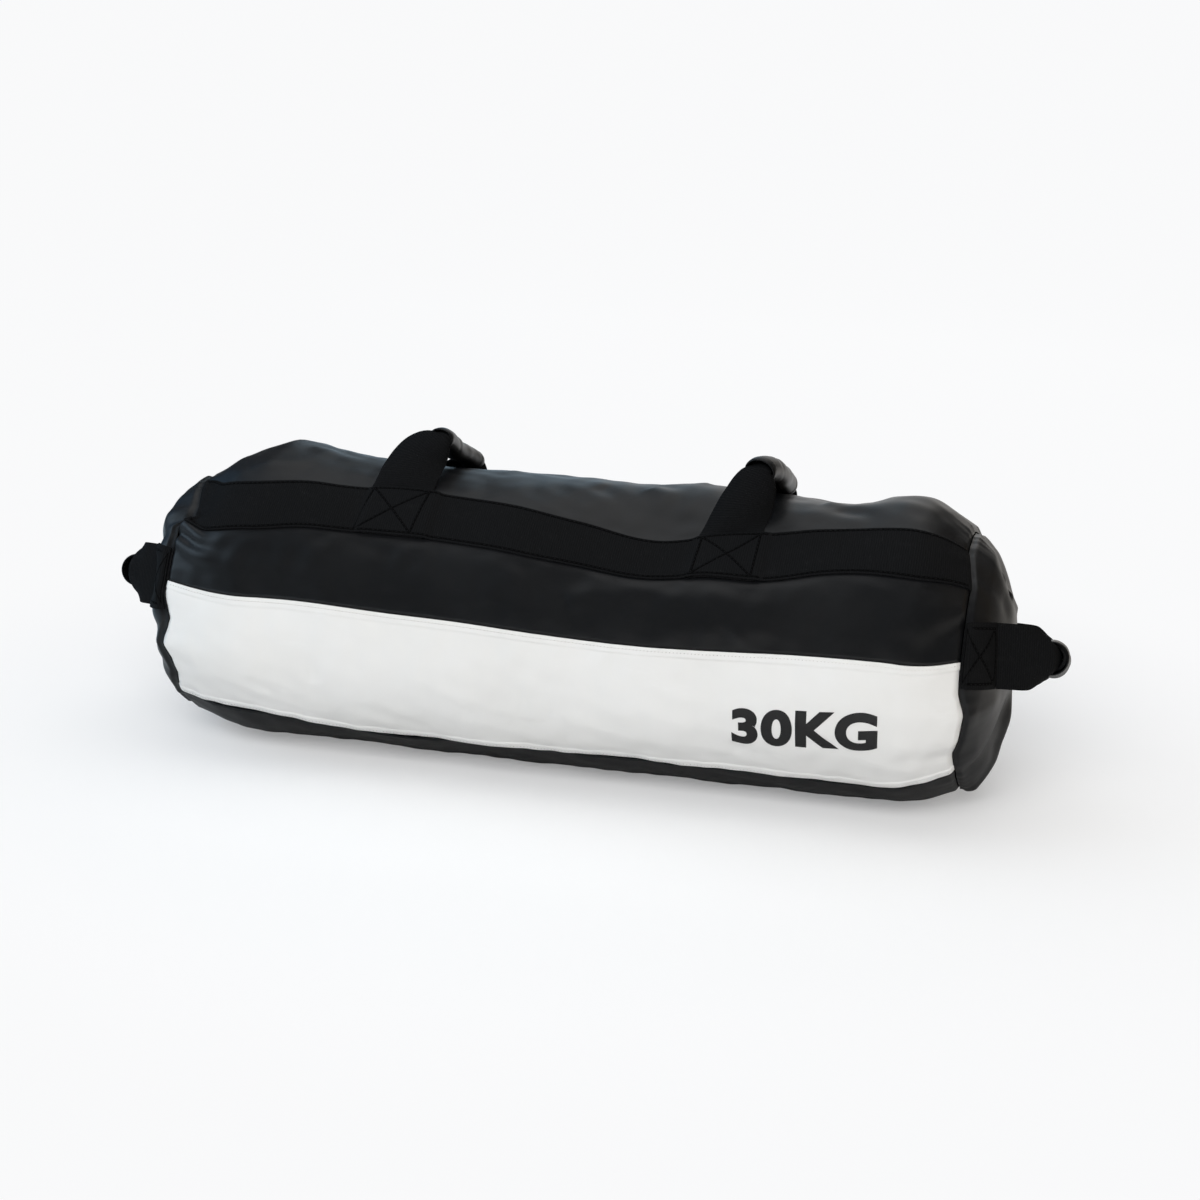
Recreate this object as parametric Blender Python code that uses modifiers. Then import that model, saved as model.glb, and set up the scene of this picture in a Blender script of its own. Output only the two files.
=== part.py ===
"""A sandbag trainer: a soft round training bag with a zipped shell, three sand-filled
filler bags inside, two grips across its top and one grip across each end.

X runs along the bag, -Y is the front with the light panel, +Z is up. The origin is on
the floor, under the middle of the whole object. The bag has rolled back a little on
the floor, so its own top (where the top handles point) leans away from the front:
angles round the bag are counted from the front, upwards, about the bag's middle line.
"""
from math import asin, ceil, cos, pi, radians, sin, sqrt

import bmesh
import bpy
from mathutils import Matrix, Vector

# The bag's body: a round section that narrows over a shoulder to each end seam
SEAM_TO_SEAM = 0.636
BODY_RADIUS = 0.1213
RIM_RADIUS = 0.1027
FLAT_DEPTH = 0.0043
RIM_DROP = 0.0038
LEFT_SHOULDER = 0.080
RIGHT_SHOULDER = 0.051
BAG_ROLL = radians(14.7)

# The end domes: how far they bulge, and how bluntly (one half is an ellipse)
DOME_DEPTHS = {"left": 0.026, "right": 0.034}
DOME_POWER_SHARES = {"left": 0.5, "right": 0.7}

# The slack of the filled shell: the whole top sags, and there is a dent over the strap
TOP_SAG = 0.0085
SAG_ANGLE = radians(95)
SAG_SPAN = radians(89)
SAG_LEFT_RAMP = 0.092
SAG_RIGHT_RAMP = 0.065
DENT_DEPTH = 0.0125
DENT_ANGLE = radians(59.5)
DENT_SPAN = radians(34)
DENT_MIDDLE = 0.087
DENT_REACH = 0.1335

# The seams have slid down by the dent, and turn up a little at the ends
SEAM_DROOP = radians(8.4)
DROOP_ANGLE = radians(70.5)
DROOP_SPAN = radians(93)
DROOP_MIDDLE = 0.062
DROOP_REACH = 0.184
END_TURN = radians(6.6)
END_TURN_SPAN = radians(90)

# Sheet goods
SHELL_WALL = 0.0014
WEBBING_WALL = 0.0015
WEBBING_WIDTH = 0.050
SEWN_GAP = 0.0003

# The light front panel and the two long straps, by the angle of their upper edges
PANEL_TOP = radians(13.8)
PANEL_HEIGHT = 0.1205
STRAP_EDGE = radians(52.8)
HUMP_RAMP = 0.006

# The top handles: webbing arches from the front strap to the rear one
TOP_HANDLE_SPACING = 0.2636
TOP_GRIP_RADIUS = 0.0130
TOP_GRIP_PLAY = 0.0008
TOP_MOUTH_RISE = {"left": 0.0142, "right": 0.0160}
TOP_GRIP_ASIDE = 0.0185
TOP_ROUND_SHARES = (0.125, 0.223, 0.379, 0.5, 0.62, 0.782, 0.9)
TOP_SEAT_SHARES = (0.65, 1.0, 1.0, 1.0, 1.0, 1.0, 0.55)
TOP_RISE_SHARES = (0.6, 1.0, 0.5, 0.15, 0.05, 0.0, 0.0)
TOP_ASIDE_SHARES = {
    "left": (0.6, 0.98, 0.9, 0.85, 0.92, 1.04, 0.6),
    "right": (0.45, 0.8, 1.0, 1.08, 1.06, 1.02, 0.6),
}
TOP_LIFT_OFF = 0.004

# The end handles: short loops across the domes
END_TAIL_INNER = 0.072
END_TAIL_START = radians(87)
END_TAIL_LIFT = 0.0006
END_HANDLE_UP = {"front": 0.0105, "rear": 0.0015}
END_GRIP_LENGTH = 0.100
END_GRIP_RADIUS = 0.0133
END_GRIP_REACH = {"left": 0.0490, "right": 0.0617}
END_OUT_SHARES = (0.52, 0.87, 1.0, 1.015)
END_IN_SHARES = (0.25, 0.55, 1.0, 2.1)

# What a grip is made of, from the outside in
SLEEVE_WALL = 0.0014
CORE_WALL = 0.0030
CORE_SETBACK_STEPS = 1
CORE_PLAY = 0.0009

# The zip, low on the rear
ZIP_ANGLE = radians(184)
ZIP_TAPE_WIDTH = 0.0150
ZIP_TAPE_WALL = 0.0010
ZIP_END_MARGIN = 0.010
COIL_WIDTH = 0.0030
COIL_HEIGHT = 0.0022
COIL_PARTING = 0.0016
STOP_LENGTH = 0.0030
SLIDER_LENGTH = 0.0140
SLIDER_WIDTH = 0.0132
SLIDER_PLATE = 0.0014
SLIDER_LIP = 0.0014
SLIDER_PLAY = 0.0004
SLIDER_SINK = 0.0005
EAR_WIDTH = 0.0048
EAR_THICKNESS = 0.0012
PULL_PIN_RADIUS = 0.0008
PULL_PIN_PLAY = 0.0003
PULL_KNUCKLE_RADIUS = 0.0017
PULL_KNUCKLE_WIDTH = 0.0034
PULL_LENGTH = 0.032
PULL_WIDTH = 0.0080
PULL_THICKNESS = 0.0014
PULL_NECK = 0.0036

# The filler bags and their sand
FILLER_COUNT = 3
FILLER_SPACING = 0.0030
FILLER_END_REACH = 0.010
FILLER_WALL = 0.0008
FILLER_CLEARANCE = 0.0014
FILLER_HEADROOM = 0.0070
FILLER_NECK = 0.042
FILLER_HEEL = 0.034
FILLER_HEEL_SHARE = 0.60
MOUTH_HALF_WIDTH = 0.060
MOUTH_FIT_SHARE = 0.70
CLOSURE_WIDTH = 0.080
CLOSURE_DEPTH = 0.018
CLOSURE_WALL = 0.0014

# How finely the shapes are cut into facets
ALONG_STEP = 0.034
SHOULDER_STEP = 0.014
PLAIN_STEP = 0.270
ROUND_STEP = radians(12)
STEP_PLAY_SHARE = 0.001
SHARP_ANGLE = radians(40)
WELD_DISTANCE = 0.00003
DOME_RINGS = 8
DOME_SIDES = 28
GRIP_ROUNDNESS = 4
FILLER_SIDES = 20
HEEL_STEPS = 3
NECK_STEPS = 4
PIN_SIDES = 16
SPAN_STEPS = 2
TAIL_CELLS = 5

HALF_LENGTH = SEAM_TO_SEAM / 2
BODY_HEIGHT = BODY_RADIUS - FLAT_DEPTH
RIM_HEIGHT = BODY_HEIGHT - RIM_DROP
LEFT_TIP = END_GRIP_REACH["left"] + END_GRIP_RADIUS
RIGHT_TIP = END_GRIP_REACH["right"] + END_GRIP_RADIUS
CENTRE_X = (LEFT_TIP - RIGHT_TIP) / 2
STRAP_ARC = WEBBING_WIDTH / BODY_RADIUS
STRAP_TOP = {"front": BAG_ROLL + STRAP_EDGE, "rear": BAG_ROLL + pi - STRAP_EDGE}
STRAP_LOW = {"front": STRAP_TOP["front"] - STRAP_ARC, "rear": STRAP_TOP["rear"] + STRAP_ARC}
PANEL_LOW = PANEL_TOP - PANEL_HEIGHT / BODY_RADIUS
SEAM_GAP_ANGLE = 2 * SEWN_GAP / BODY_RADIUS
ZIP_HALF_ARC = (ZIP_TAPE_WIDTH + COIL_PARTING / 2) / BODY_RADIUS
SIDES = {"left": -1, "right": 1}
SIDE_SIGNS = {"front": 1, "rear": -1}
HANDLE_PLACES = {"left": -TOP_HANDLE_SPACING / 2, "right": TOP_HANDLE_SPACING / 2}
UNDER_STRAP = SEWN_GAP + WEBBING_WALL / 2
MOUTH_HALF_HEIGHT = (SEWN_GAP * 3 / 2 + CLOSURE_WALL + FILLER_WALL) / MOUTH_FIT_SHARE

BLACK_VINYL = ("black_vinyl", (0.018, 0.020, 0.024), 0.42, 0.0)
WHITE_VINYL = ("white_vinyl", (0.82, 0.81, 0.78), 0.45, 0.0)
BLACK_WEBBING = ("black_webbing", (0.014, 0.014, 0.015), 0.80, 0.0)
GRIP_VINYL = ("grip_vinyl", (0.020, 0.021, 0.024), 0.38, 0.0)
CORE_PLASTIC = ("core_plastic", (0.30, 0.31, 0.32), 0.50, 0.0)
ZIP_TAPE = ("zip_tape", (0.016, 0.016, 0.017), 0.85, 0.0)
ZIP_COIL = ("zip_coil", (0.020, 0.020, 0.022), 0.40, 0.0)
ZIP_METAL = ("zip_metal", (0.30, 0.30, 0.31), 0.35, 1.0)
FILLER_CLOTH = ("filler_cloth", (0.10, 0.10, 0.11), 0.85, 0.0)
CLOSURE_TAPE = ("closure_tape", (0.020, 0.020, 0.022), 0.95, 0.0)
SAND = ("sand", (0.55, 0.45, 0.31), 0.95, 0.0)


def clear_scene():
    """Remove what the scene holds, so that only the bag is in it."""
    for item in list(bpy.data.objects):
        bpy.data.objects.remove(item, do_unlink=True)


def collection(name):
    """A new collection in the scene."""
    group = bpy.data.collections.new(name)
    bpy.context.scene.collection.children.link(group)
    return group


def material(finish):
    """The Principled material of a finish, made once."""
    name, colour, roughness, metallic = finish
    found = bpy.data.materials.get(name)
    if found:
        return found
    made = bpy.data.materials.new(name)
    made.use_nodes = True
    shader = made.node_tree.nodes["Principled BSDF"]
    shader.inputs["Base Color"].default_value = (*colour, 1)
    shader.inputs["Roughness"].default_value = roughness
    shader.inputs["Metallic"].default_value = metallic
    return made


def part(name, mesh, finish, smooth=True):
    """An object of the bag from a bmesh, with its material."""
    data = bpy.data.meshes.new(name)
    mesh.to_mesh(data)
    mesh.free()
    if smooth:
        data.shade_smooth()
        data.set_sharp_from_angle(angle=SHARP_ANGLE)
    data.materials.append(material(finish))
    made = bpy.data.objects.new(name, data)
    PARTS.objects.link(made)
    return made


def put_on_axis(piece, spot):
    """Move a moving piece's origin onto its joint's axis, and leave its shape in place."""
    piece.data.transform(Matrix.Translation(-spot))
    piece.location = spot


def give_wall(piece, wall, offset):
    """Give an open sheet its thickness: offset -1 inwards, 1 outwards, 0 both ways."""
    solid = piece.modifiers.new("wall", "SOLIDIFY")
    solid.thickness = wall
    solid.offset = offset
    solid.use_even_offset = True
    return piece


def smooth_share(share):
    """0 to 1 with a soft start and end."""
    share = min(max(share, 0), 1)
    return share * share * (3 - 2 * share)


def swell(distance, reach):
    """1 at no distance, falling softly to 0 at the reach."""
    return cos(min(abs(distance) / reach, 1) * pi / 2) ** 2


def turn_between(angle, middle):
    """The shortest turn from one angle round the bag to another."""
    return (angle - middle + pi) % (2 * pi) - pi


def shoulder_rise(along):
    """0 at an end seam, 1 where the shoulder has reached the full section."""
    shoulder = LEFT_SHOULDER if along < 0 else RIGHT_SHOULDER
    share = (HALF_LENGTH - abs(along)) / shoulder
    return sin(min(max(share, 0), 1) * pi / 2)


def sag_depth(along, angle):
    """How far the shell dents in from its round section."""
    ramp, shoulder = SAG_RIGHT_RAMP, RIGHT_SHOULDER
    if along < 0:
        ramp, shoulder = SAG_LEFT_RAMP, LEFT_SHOULDER
    from_shoulder = HALF_LENGTH - shoulder - abs(along)
    sag = TOP_SAG * smooth_share(from_shoulder / ramp) * swell(turn_between(angle, SAG_ANGLE), SAG_SPAN)
    dent = DENT_DEPTH * swell(turn_between(angle, DENT_ANGLE), DENT_SPAN)
    return sag + dent * swell(along - DENT_MIDDLE, DENT_REACH)


def seam_turn(along, angle):
    """How far a seam at an angle has slid round the bag at a place along it."""
    droop = SEAM_DROOP * swell(turn_between(angle, DROOP_ANGLE), DROOP_SPAN)
    end_turn = END_TURN * (1 - shoulder_rise(along)) * swell(turn_between(angle, 0), END_TURN_SPAN)
    return end_turn - droop * swell(along - DROOP_MIDDLE, DROOP_REACH)


def bag_point(along, angle, lift=0.0):
    """A point of the shell's outside, lifted off it outwards or, below zero, inwards."""
    turned = angle + seam_turn(along, angle)
    rise = shoulder_rise(along)
    radius = RIM_RADIUS + (BODY_RADIUS - RIM_RADIUS) * rise
    radius += lift - sag_depth(along, turned)
    height = RIM_HEIGHT + RIM_DROP * rise + radius * sin(turned)
    return Vector((CENTRE_X + along, -radius * cos(turned), max(height, -lift, 0)))


def rolled(across, up):
    """A direction in the bag's own section, turned with the bag as it lies."""
    y = across * cos(BAG_ROLL) + up * sin(BAG_ROLL)
    return Vector((0, y, up * cos(BAG_ROLL) - across * sin(BAG_ROLL)))


def dome_point(side, across, up, lift=0.0):
    """A point of an end dome's outside, across and up in the bag's own section."""
    depth, power = DOME_DEPTHS[side], DOME_POWER_SHARES[side]
    inside_rim = max(1 - (across ** 2 + up ** 2) / RIM_RADIUS ** 2, 0)
    outwards = Vector((SIDES[side], 0, 0))
    spread = rolled(across, up)
    normal = spread * 2 * power * depth / RIM_RADIUS ** 2 + outwards * inside_rim ** (1 - power)
    rim = Vector((CENTRE_X, 0, RIM_HEIGHT)) + outwards * HALF_LENGTH
    flat = rim + spread + outwards * depth * inside_rim ** power
    return flat + normal.normalized() * lift


def stations(edges, step):
    """Values from edge to edge that hold every edge, in even cells of at most step."""
    values = [edges[0]]
    for low, high in zip(edges, edges[1:]):
        cells = max(1, ceil((high - low) / step - STEP_PLAY_SHARE))
        values += [low + (high - low) * cell / cells for cell in range(1, cells + 1)]
    return values


def body_stations(middle_edges, step):
    """Stations from end seam to end seam, fine over the shoulders."""
    seam = HALF_LENGTH - SEWN_GAP
    left = -HALF_LENGTH + LEFT_SHOULDER
    right = HALF_LENGTH - RIGHT_SHOULDER
    values = stations([-seam, left], SHOULDER_STEP)
    values += stations([left, *middle_edges, right], step)[1:]
    return values + stations([right, seam], SHOULDER_STEP)[1:]


def handle_edges():
    """Where the webbing's edges and the strap's humps cross the long straps."""
    half = WEBBING_WIDTH / 2
    edges = []
    for middle in HANDLE_PLACES.values():
        edges += [middle - half - HUMP_RAMP, middle - half, middle, middle + half]
        edges.append(middle + half + HUMP_RAMP)
    return edges


def sheet_mesh(spot, rows, columns, inside):
    """An open sheet whose corners are spot(row, column), facing away from inside."""
    mesh = bmesh.new()
    bmesh.ops.create_grid(mesh, x_segments=rows - 1, y_segments=columns - 1, size=1)
    for corner in mesh.verts:
        row = round((corner.co.x + 1) / 2 * (rows - 1))
        column = round((corner.co.y + 1) / 2 * (columns - 1))
        corner.co = spot(row, column)
    return faced_outwards(mesh, inside)


def faced_outwards(mesh, inside):
    """Turn an open sheet's faces so that they look away from the inside point."""
    mesh.normal_update()
    looks = sum((face.calc_center_median() - inside).dot(face.normal) for face in mesh.faces)
    if looks < 0:
        bmesh.ops.reverse_faces(mesh, faces=mesh.faces)
    return mesh


def body_sheet(name, finish, along, angles, lift=0.0, wall=SHELL_WALL, offset=-1):
    """A sheet on the bag's body; lift is a length, or a function of the place along."""
    raise_by = lift if callable(lift) else lambda place: lift

    def spot(row, column):
        return bag_point(along[row], angles[column], raise_by(along[row]))

    middle = Vector((CENTRE_X, 0, BODY_HEIGHT))
    mesh = sheet_mesh(spot, len(along), len(angles), middle)
    return give_wall(part(name, mesh, finish), wall, offset)


def make_panels():
    """The shell round the body: light front panel, top panel and base panel."""
    fine = body_stations(handle_edges(), ALONG_STEP)
    plain = body_stations([], PLAIN_STEP)
    gap = SEAM_GAP_ANGLE / 2
    front = stations([PANEL_LOW + gap, PANEL_TOP - gap], ROUND_STEP)
    top_edges = [PANEL_TOP + gap, STRAP_LOW["front"], STRAP_TOP["front"]]
    top_edges += [STRAP_TOP["rear"], STRAP_LOW["rear"], ZIP_ANGLE - ZIP_HALF_ARC - gap]
    base_edges = [ZIP_ANGLE + ZIP_HALF_ARC + gap, PANEL_LOW + 2 * pi - gap]
    body_sheet("front_panel", WHITE_VINYL, fine, front)
    body_sheet("top_panel", BLACK_VINYL, fine, stations(top_edges, ROUND_STEP))
    body_sheet("base_panel", BLACK_VINYL, plain, stations(base_edges, ROUND_STEP))


def make_end_cap(side):
    """One end of the shell: a low dome turned about the bag's own axis."""
    mesh = bmesh.new()
    depth, power = DOME_DEPTHS[side], DOME_POWER_SHARES[side]
    corners = []
    for ring in range(DOME_RINGS + 1):
        slope = pi / 2 * (1 - ring / DOME_RINGS)
        out = depth * max(cos(slope), 0) ** (2 * power)
        corners.append(mesh.verts.new((SIDES[side] * out, 0, RIM_RADIUS * sin(slope))))
    for low, high in zip(corners, corners[1:]):
        mesh.edges.new((low, high))
    bmesh.ops.spin(
        mesh, geom=mesh.verts[:] + mesh.edges[:], cent=(0, 0, 0), axis=(1, 0, 0),
        angle=2 * pi, steps=DOME_SIDES, use_merge=True,
    )
    bmesh.ops.remove_doubles(mesh, verts=mesh.verts, dist=WELD_DISTANCE)
    faced_outwards(mesh, Vector((-SIDES[side] * depth, 0, 0)))
    cap = part(f"end_cap_{side}", mesh, BLACK_VINYL)
    cap.location = (CENTRE_X + SIDES[side] * HALF_LENGTH, 0, RIM_HEIGHT)
    give_wall(cap, SHELL_WALL, -1)


def strap_angles(place):
    """The angles of a long strap's facets, the same as those of the panel under it."""
    edges = sorted((STRAP_LOW[place], STRAP_TOP[place]))
    return stations(edges, ROUND_STEP)


def strap_lift(along):
    """A long strap lies on the panel and humps over the handles' sewn tails."""
    nearest = min(abs(along - middle) for middle in HANDLE_PLACES.values())
    past = (nearest - WEBBING_WIDTH / 2) / HUMP_RAMP
    hump = 1 - min(max(past, 0), 1)
    return SEWN_GAP + (WEBBING_WALL + SEWN_GAP) * hump


def make_strap(place):
    """A webbing strap along the whole bag."""
    along = body_stations(handle_edges(), ALONG_STEP)
    angles = strap_angles(place)
    body_sheet(f"{place}_strap", BLACK_WEBBING, along, angles, strap_lift, WEBBING_WALL, 1)


def make_top_tail(side, place):
    """The sewn end of a top handle, between the strap and the panel."""
    middle = HANDLE_PLACES[side]
    half = WEBBING_WIDTH / 2
    along = stations([middle - half, middle, middle + half], ALONG_STEP)
    name = f"top_handle_{side}_{place}_tail"
    body_sheet(name, BLACK_WEBBING, along, strap_angles(place), SEWN_GAP, WEBBING_WALL, 1)


def make_end_tail(side, place):
    """The sewn end of an end handle, on the dome from the seam inwards."""
    toward = -SIDE_SIGNS[place]

    def spot(row, column):
        up = END_HANDLE_UP[place] + WEBBING_WIDTH * (column / TAIL_CELLS - 1 / 2)
        edge = sqrt(RIM_RADIUS ** 2 - up ** 2)
        slope = END_TAIL_START + (asin(END_TAIL_INNER / edge) - END_TAIL_START) * row / TAIL_CELLS
        return dome_point(side, toward * edge * sin(slope), up, END_TAIL_LIFT)

    inside = Vector((CENTRE_X, 0, RIM_HEIGHT))
    mesh = sheet_mesh(spot, TAIL_CELLS + 1, TAIL_CELLS + 1, inside)
    tail = part(f"end_handle_{side}_{place}_tail", mesh, BLACK_WEBBING)
    give_wall(tail, WEBBING_WALL, 1)


def curve_through(points, steps):
    """Points of a smooth curve through all the given points."""
    padded = [2 * points[0] - points[1], *points, 2 * points[-1] - points[-2]]
    path = []
    for before, start, end, after in zip(padded, padded[1:], padded[2:], padded[3:]):
        for step in range(steps):
            share = step / steps
            bend = 2 * start + (end - before) * share
            bend += (2 * before - 5 * start + 4 * end - after) * share ** 2
            bend += (3 * start - before - 3 * end + after) * share ** 3
            path.append(bend / 2)
    return path + [points[-1]]


def hollow_tube(name, path, radius, wall, finish):
    """A tube along a path, open at both ends."""
    curve = bpy.data.curves.new(name, "CURVE")
    curve.dimensions = "3D"
    curve.bevel_depth = radius
    curve.bevel_resolution = GRIP_ROUNDNESS
    spline = curve.splines.new("POLY")
    spline.points.add(len(path) - 1)
    for point, place in zip(spline.points, path):
        point.co = (*place, 1)
    guide = bpy.data.objects.new(name + "_guide", curve)
    PARTS.objects.link(guide)
    bpy.context.view_layer.update()
    drawn = guide.evaluated_get(bpy.context.evaluated_depsgraph_get())
    data = bpy.data.meshes.new_from_object(drawn)
    mesh = bmesh.new()
    mesh.from_mesh(data)
    bpy.data.objects.remove(guide, do_unlink=True)
    bmesh.ops.recalc_face_normals(mesh, faces=mesh.faces)
    tube = part(name, mesh, finish)
    return give_wall(tube, wall, -1)


def webbing_loop(name, rows):
    """The free webbing of a handle, a strip through rows of points across its width."""
    columns = len(rows[0])
    middle = sum((row[columns // 2] for row in rows), Vector()) / len(rows)

    def spot(row, column):
        return rows[row][column]

    strip = part(name, sheet_mesh(spot, len(rows), columns, middle), BLACK_WEBBING)
    return give_wall(strip, WEBBING_WALL, 0)


def free_rows(path, widths, spread):
    """Rows of three points across a strip that follows a path."""
    rows = []
    for index, place in enumerate(path):
        ahead = path[min(index + 1, len(path) - 1)] - path[max(index - 1, 0)]
        ahead.normalize()
        flat = (spread - ahead * spread.dot(ahead)).normalized() * widths[index] / 2
        rows.append([place - flat, place, place + flat])
    return rows


def core_radius(grip_radius):
    """The outside radius of the core in a grip."""
    return grip_radius - SLEEVE_WALL - SEWN_GAP


def strip_widths(count, mouth, grip_radius):
    """The webbing's width at each point of its path: full at the legs' feet, drawn in
    to what fits the core from one mouth to the other."""
    in_core = 2 * (core_radius(grip_radius) - CORE_WALL - CORE_PLAY)
    widths = []
    for index in range(count):
        drawn = smooth_share(min(index, count - 1 - index) / mouth)
        widths.append(WEBBING_WIDTH + (in_core - WEBBING_WIDTH) * drawn)
    return widths


def make_grip(name, path, radius):
    """A grip: a plastic core in a vinyl sleeve, both on the webbing's path."""
    core_path = path[CORE_SETBACK_STEPS:-CORE_SETBACK_STEPS]
    sleeve = hollow_tube(f"{name}_grip", path, radius, SLEEVE_WALL, GRIP_VINYL)
    core = hollow_tube(f"{name}_core", core_path, core_radius(radius), CORE_WALL, CORE_PLASTIC)
    return [sleeve, core]


def top_anchor(side, place, past=0.0, lift=UNDER_STRAP, sideways=0.0):
    """Where a top handle leaves a strap's edge, and points just past that edge."""
    turn = SIDE_SIGNS[place] * (past + SEWN_GAP) / BODY_RADIUS
    return bag_point(HANDLE_PLACES[side] + sideways, STRAP_TOP[place] + turn, lift)


def top_root_rows(side, place):
    """The first two rows of a top handle's webbing, flat on the bag."""
    half = WEBBING_WIDTH / 2
    offsets = (-half, 0, half)
    lifted = UNDER_STRAP + SEWN_GAP
    first = [top_anchor(side, place, sideways=offset) for offset in offsets]
    second = [top_anchor(side, place, TOP_LIFT_OFF, lifted, offset) for offset in offsets]
    return [first, second]


def make_top_handle(side):
    """A top handle: webbing from strap to strap, with a grip in its middle."""
    seat = TOP_GRIP_RADIUS + TOP_GRIP_PLAY
    shares = zip(TOP_ROUND_SHARES, TOP_SEAT_SHARES, TOP_RISE_SHARES, TOP_ASIDE_SHARES[side])
    places = []
    for round_share, seat_share, rise_share, aside_share in shares:
        angle = STRAP_TOP["front"] + (STRAP_TOP["rear"] - STRAP_TOP["front"]) * round_share
        lift = seat * seat_share + TOP_MOUTH_RISE[side] * rise_share
        aside = HANDLE_PLACES[side] + TOP_GRIP_ASIDE * aside_share
        places.append(bag_point(aside, angle, lift))
    path = curve_through(places, SPAN_STEPS)
    widths = strip_widths(len(path), SPAN_STEPS, TOP_GRIP_RADIUS)
    rows = top_root_rows(side, "front") + free_rows(path, widths, Vector((1, 0, 0)))
    rows += reversed(top_root_rows(side, "rear"))
    pieces = make_grip(f"top_handle_{side}", path[SPAN_STEPS:-SPAN_STEPS], TOP_GRIP_RADIUS)
    for piece in [webbing_loop(f"top_handle_{side}_webbing", rows), *pieces]:
        put_on_axis(piece, top_anchor(side, "front"))


def end_place(side, across, up, out):
    """A point off an end seam's middle: across and up in the bag's section, and out."""
    rim = Vector((CENTRE_X + SIDES[side] * HALF_LENGTH, 0, RIM_HEIGHT))
    return rim + rolled(across, up) + Vector((SIDES[side] * out, 0, 0))


def end_root(side, place, sideways=0.0):
    """Where an end handle leaves the dome, just past its sewn tail."""
    across = END_TAIL_INNER - SEWN_GAP - WEBBING_WALL / 2
    up = END_HANDLE_UP[place] + sideways
    return dome_point(side, -SIDE_SIGNS[place] * across, up, END_TAIL_LIFT + WEBBING_WALL / 2)


def make_end_handle(side):
    """An end handle: webbing across the dome, with a straight grip at its tip."""
    roots = {place: end_root(side, place) for place in SIDE_SIGNS}
    root_out = abs(roots["front"].x - CENTRE_X) - HALF_LENGTH
    reach = END_GRIP_REACH[side]
    halves = {}
    for place, sign in SIDE_SIGNS.items():
        leg = []
        for out_share, in_share in zip(END_OUT_SHARES, END_IN_SHARES):
            across = END_TAIL_INNER + (END_GRIP_LENGTH / 2 - END_TAIL_INNER) * in_share
            out = root_out + (reach - root_out) * out_share
            leg.append(end_place(side, -sign * across, END_HANDLE_UP[place], out))
        halves[place] = leg
    middle = end_place(side, 0, sum(END_HANDLE_UP.values()) / 2, reach)
    path = curve_through([*halves["front"], middle, *reversed(halves["rear"])], SPAN_STEPS)
    widths = strip_widths(len(path), 2 * SPAN_STEPS, END_GRIP_RADIUS)
    half = WEBBING_WIDTH / 2
    first = [end_root(side, "front", offset) for offset in (-half, 0, half)]
    last = [end_root(side, "rear", offset) for offset in (-half, 0, half)]
    rows = [first, *free_rows(path, widths, rolled(0, 1)), last]
    pieces = make_grip(f"end_handle_{side}", path[2 * SPAN_STEPS:-2 * SPAN_STEPS], END_GRIP_RADIUS)
    for piece in [webbing_loop(f"end_handle_{side}_webbing", rows), *pieces]:
        put_on_axis(piece, roots["front"])


def zip_ends():
    """Where the zip's coils begin and end along the bag."""
    left = -HALF_LENGTH + LEFT_SHOULDER + ZIP_END_MARGIN
    return left, HALF_LENGTH - RIGHT_SHOULDER - ZIP_END_MARGIN


def zip_frame(along):
    """A frame on the zip's middle line: along it, round the bag, and outwards."""
    round_way = Vector((0, sin(ZIP_ANGLE), cos(ZIP_ANGLE)))
    outwards = Vector((0, -cos(ZIP_ANGLE), sin(ZIP_ANGLE)))
    turn = Matrix((Vector((1, 0, 0)), round_way, outwards)).transposed().to_4x4()
    return Matrix.Translation(bag_point(along, ZIP_ANGLE)) @ turn


def block(name, low, high, frame, finish):
    """A box from its lowest to its highest corner in a frame."""
    low, high = Vector(low), Vector(high)
    mesh = bmesh.new()
    bmesh.ops.create_cube(mesh, size=1)
    size = Matrix.Diagonal((*(high - low), 1))
    bmesh.ops.transform(mesh, matrix=Matrix.Translation((low + high) / 2) @ size, verts=mesh.verts)
    made = part(name, mesh, finish, smooth=False)
    made.matrix_world = frame
    return made


def make_zip_tapes():
    """The two tapes of the zip, sewn to the top panel and the base panel."""
    along = body_stations([], PLAIN_STEP)
    parting = COIL_PARTING / 2 / BODY_RADIUS
    wide = ZIP_TAPE_WIDTH / BODY_RADIUS
    upper = stations([ZIP_ANGLE - parting - wide, ZIP_ANGLE - parting], ROUND_STEP / 2)
    lower = stations([ZIP_ANGLE + parting, ZIP_ANGLE + parting + wide], ROUND_STEP / 2)
    body_sheet("zip_upper_tape", ZIP_TAPE, along, upper, wall=ZIP_TAPE_WALL)
    body_sheet("zip_lower_tape", ZIP_TAPE, along, lower, wall=ZIP_TAPE_WALL)


def make_zip_coils():
    """The coils on the tapes' edges and the stops past both their ends."""
    left, right = zip_ends()
    near = COIL_PARTING / 2
    far = near + COIL_WIDTH
    high = SEWN_GAP + COIL_HEIGHT
    frame = zip_frame(left)
    length = right - left
    block("zip_upper_coil", (0, near, SEWN_GAP), (length, far, high), frame, ZIP_COIL)
    block("zip_lower_coil", (0, -far, SEWN_GAP), (length, -near, high), frame, ZIP_COIL)
    for side, start in (("left", -SEWN_GAP - STOP_LENGTH), ("right", length + SEWN_GAP)):
        low = (start, -far, SEWN_GAP)
        top = (start + STOP_LENGTH, far, high)
        block(f"zip_stop_{side}", low, top, frame, ZIP_METAL)


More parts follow.
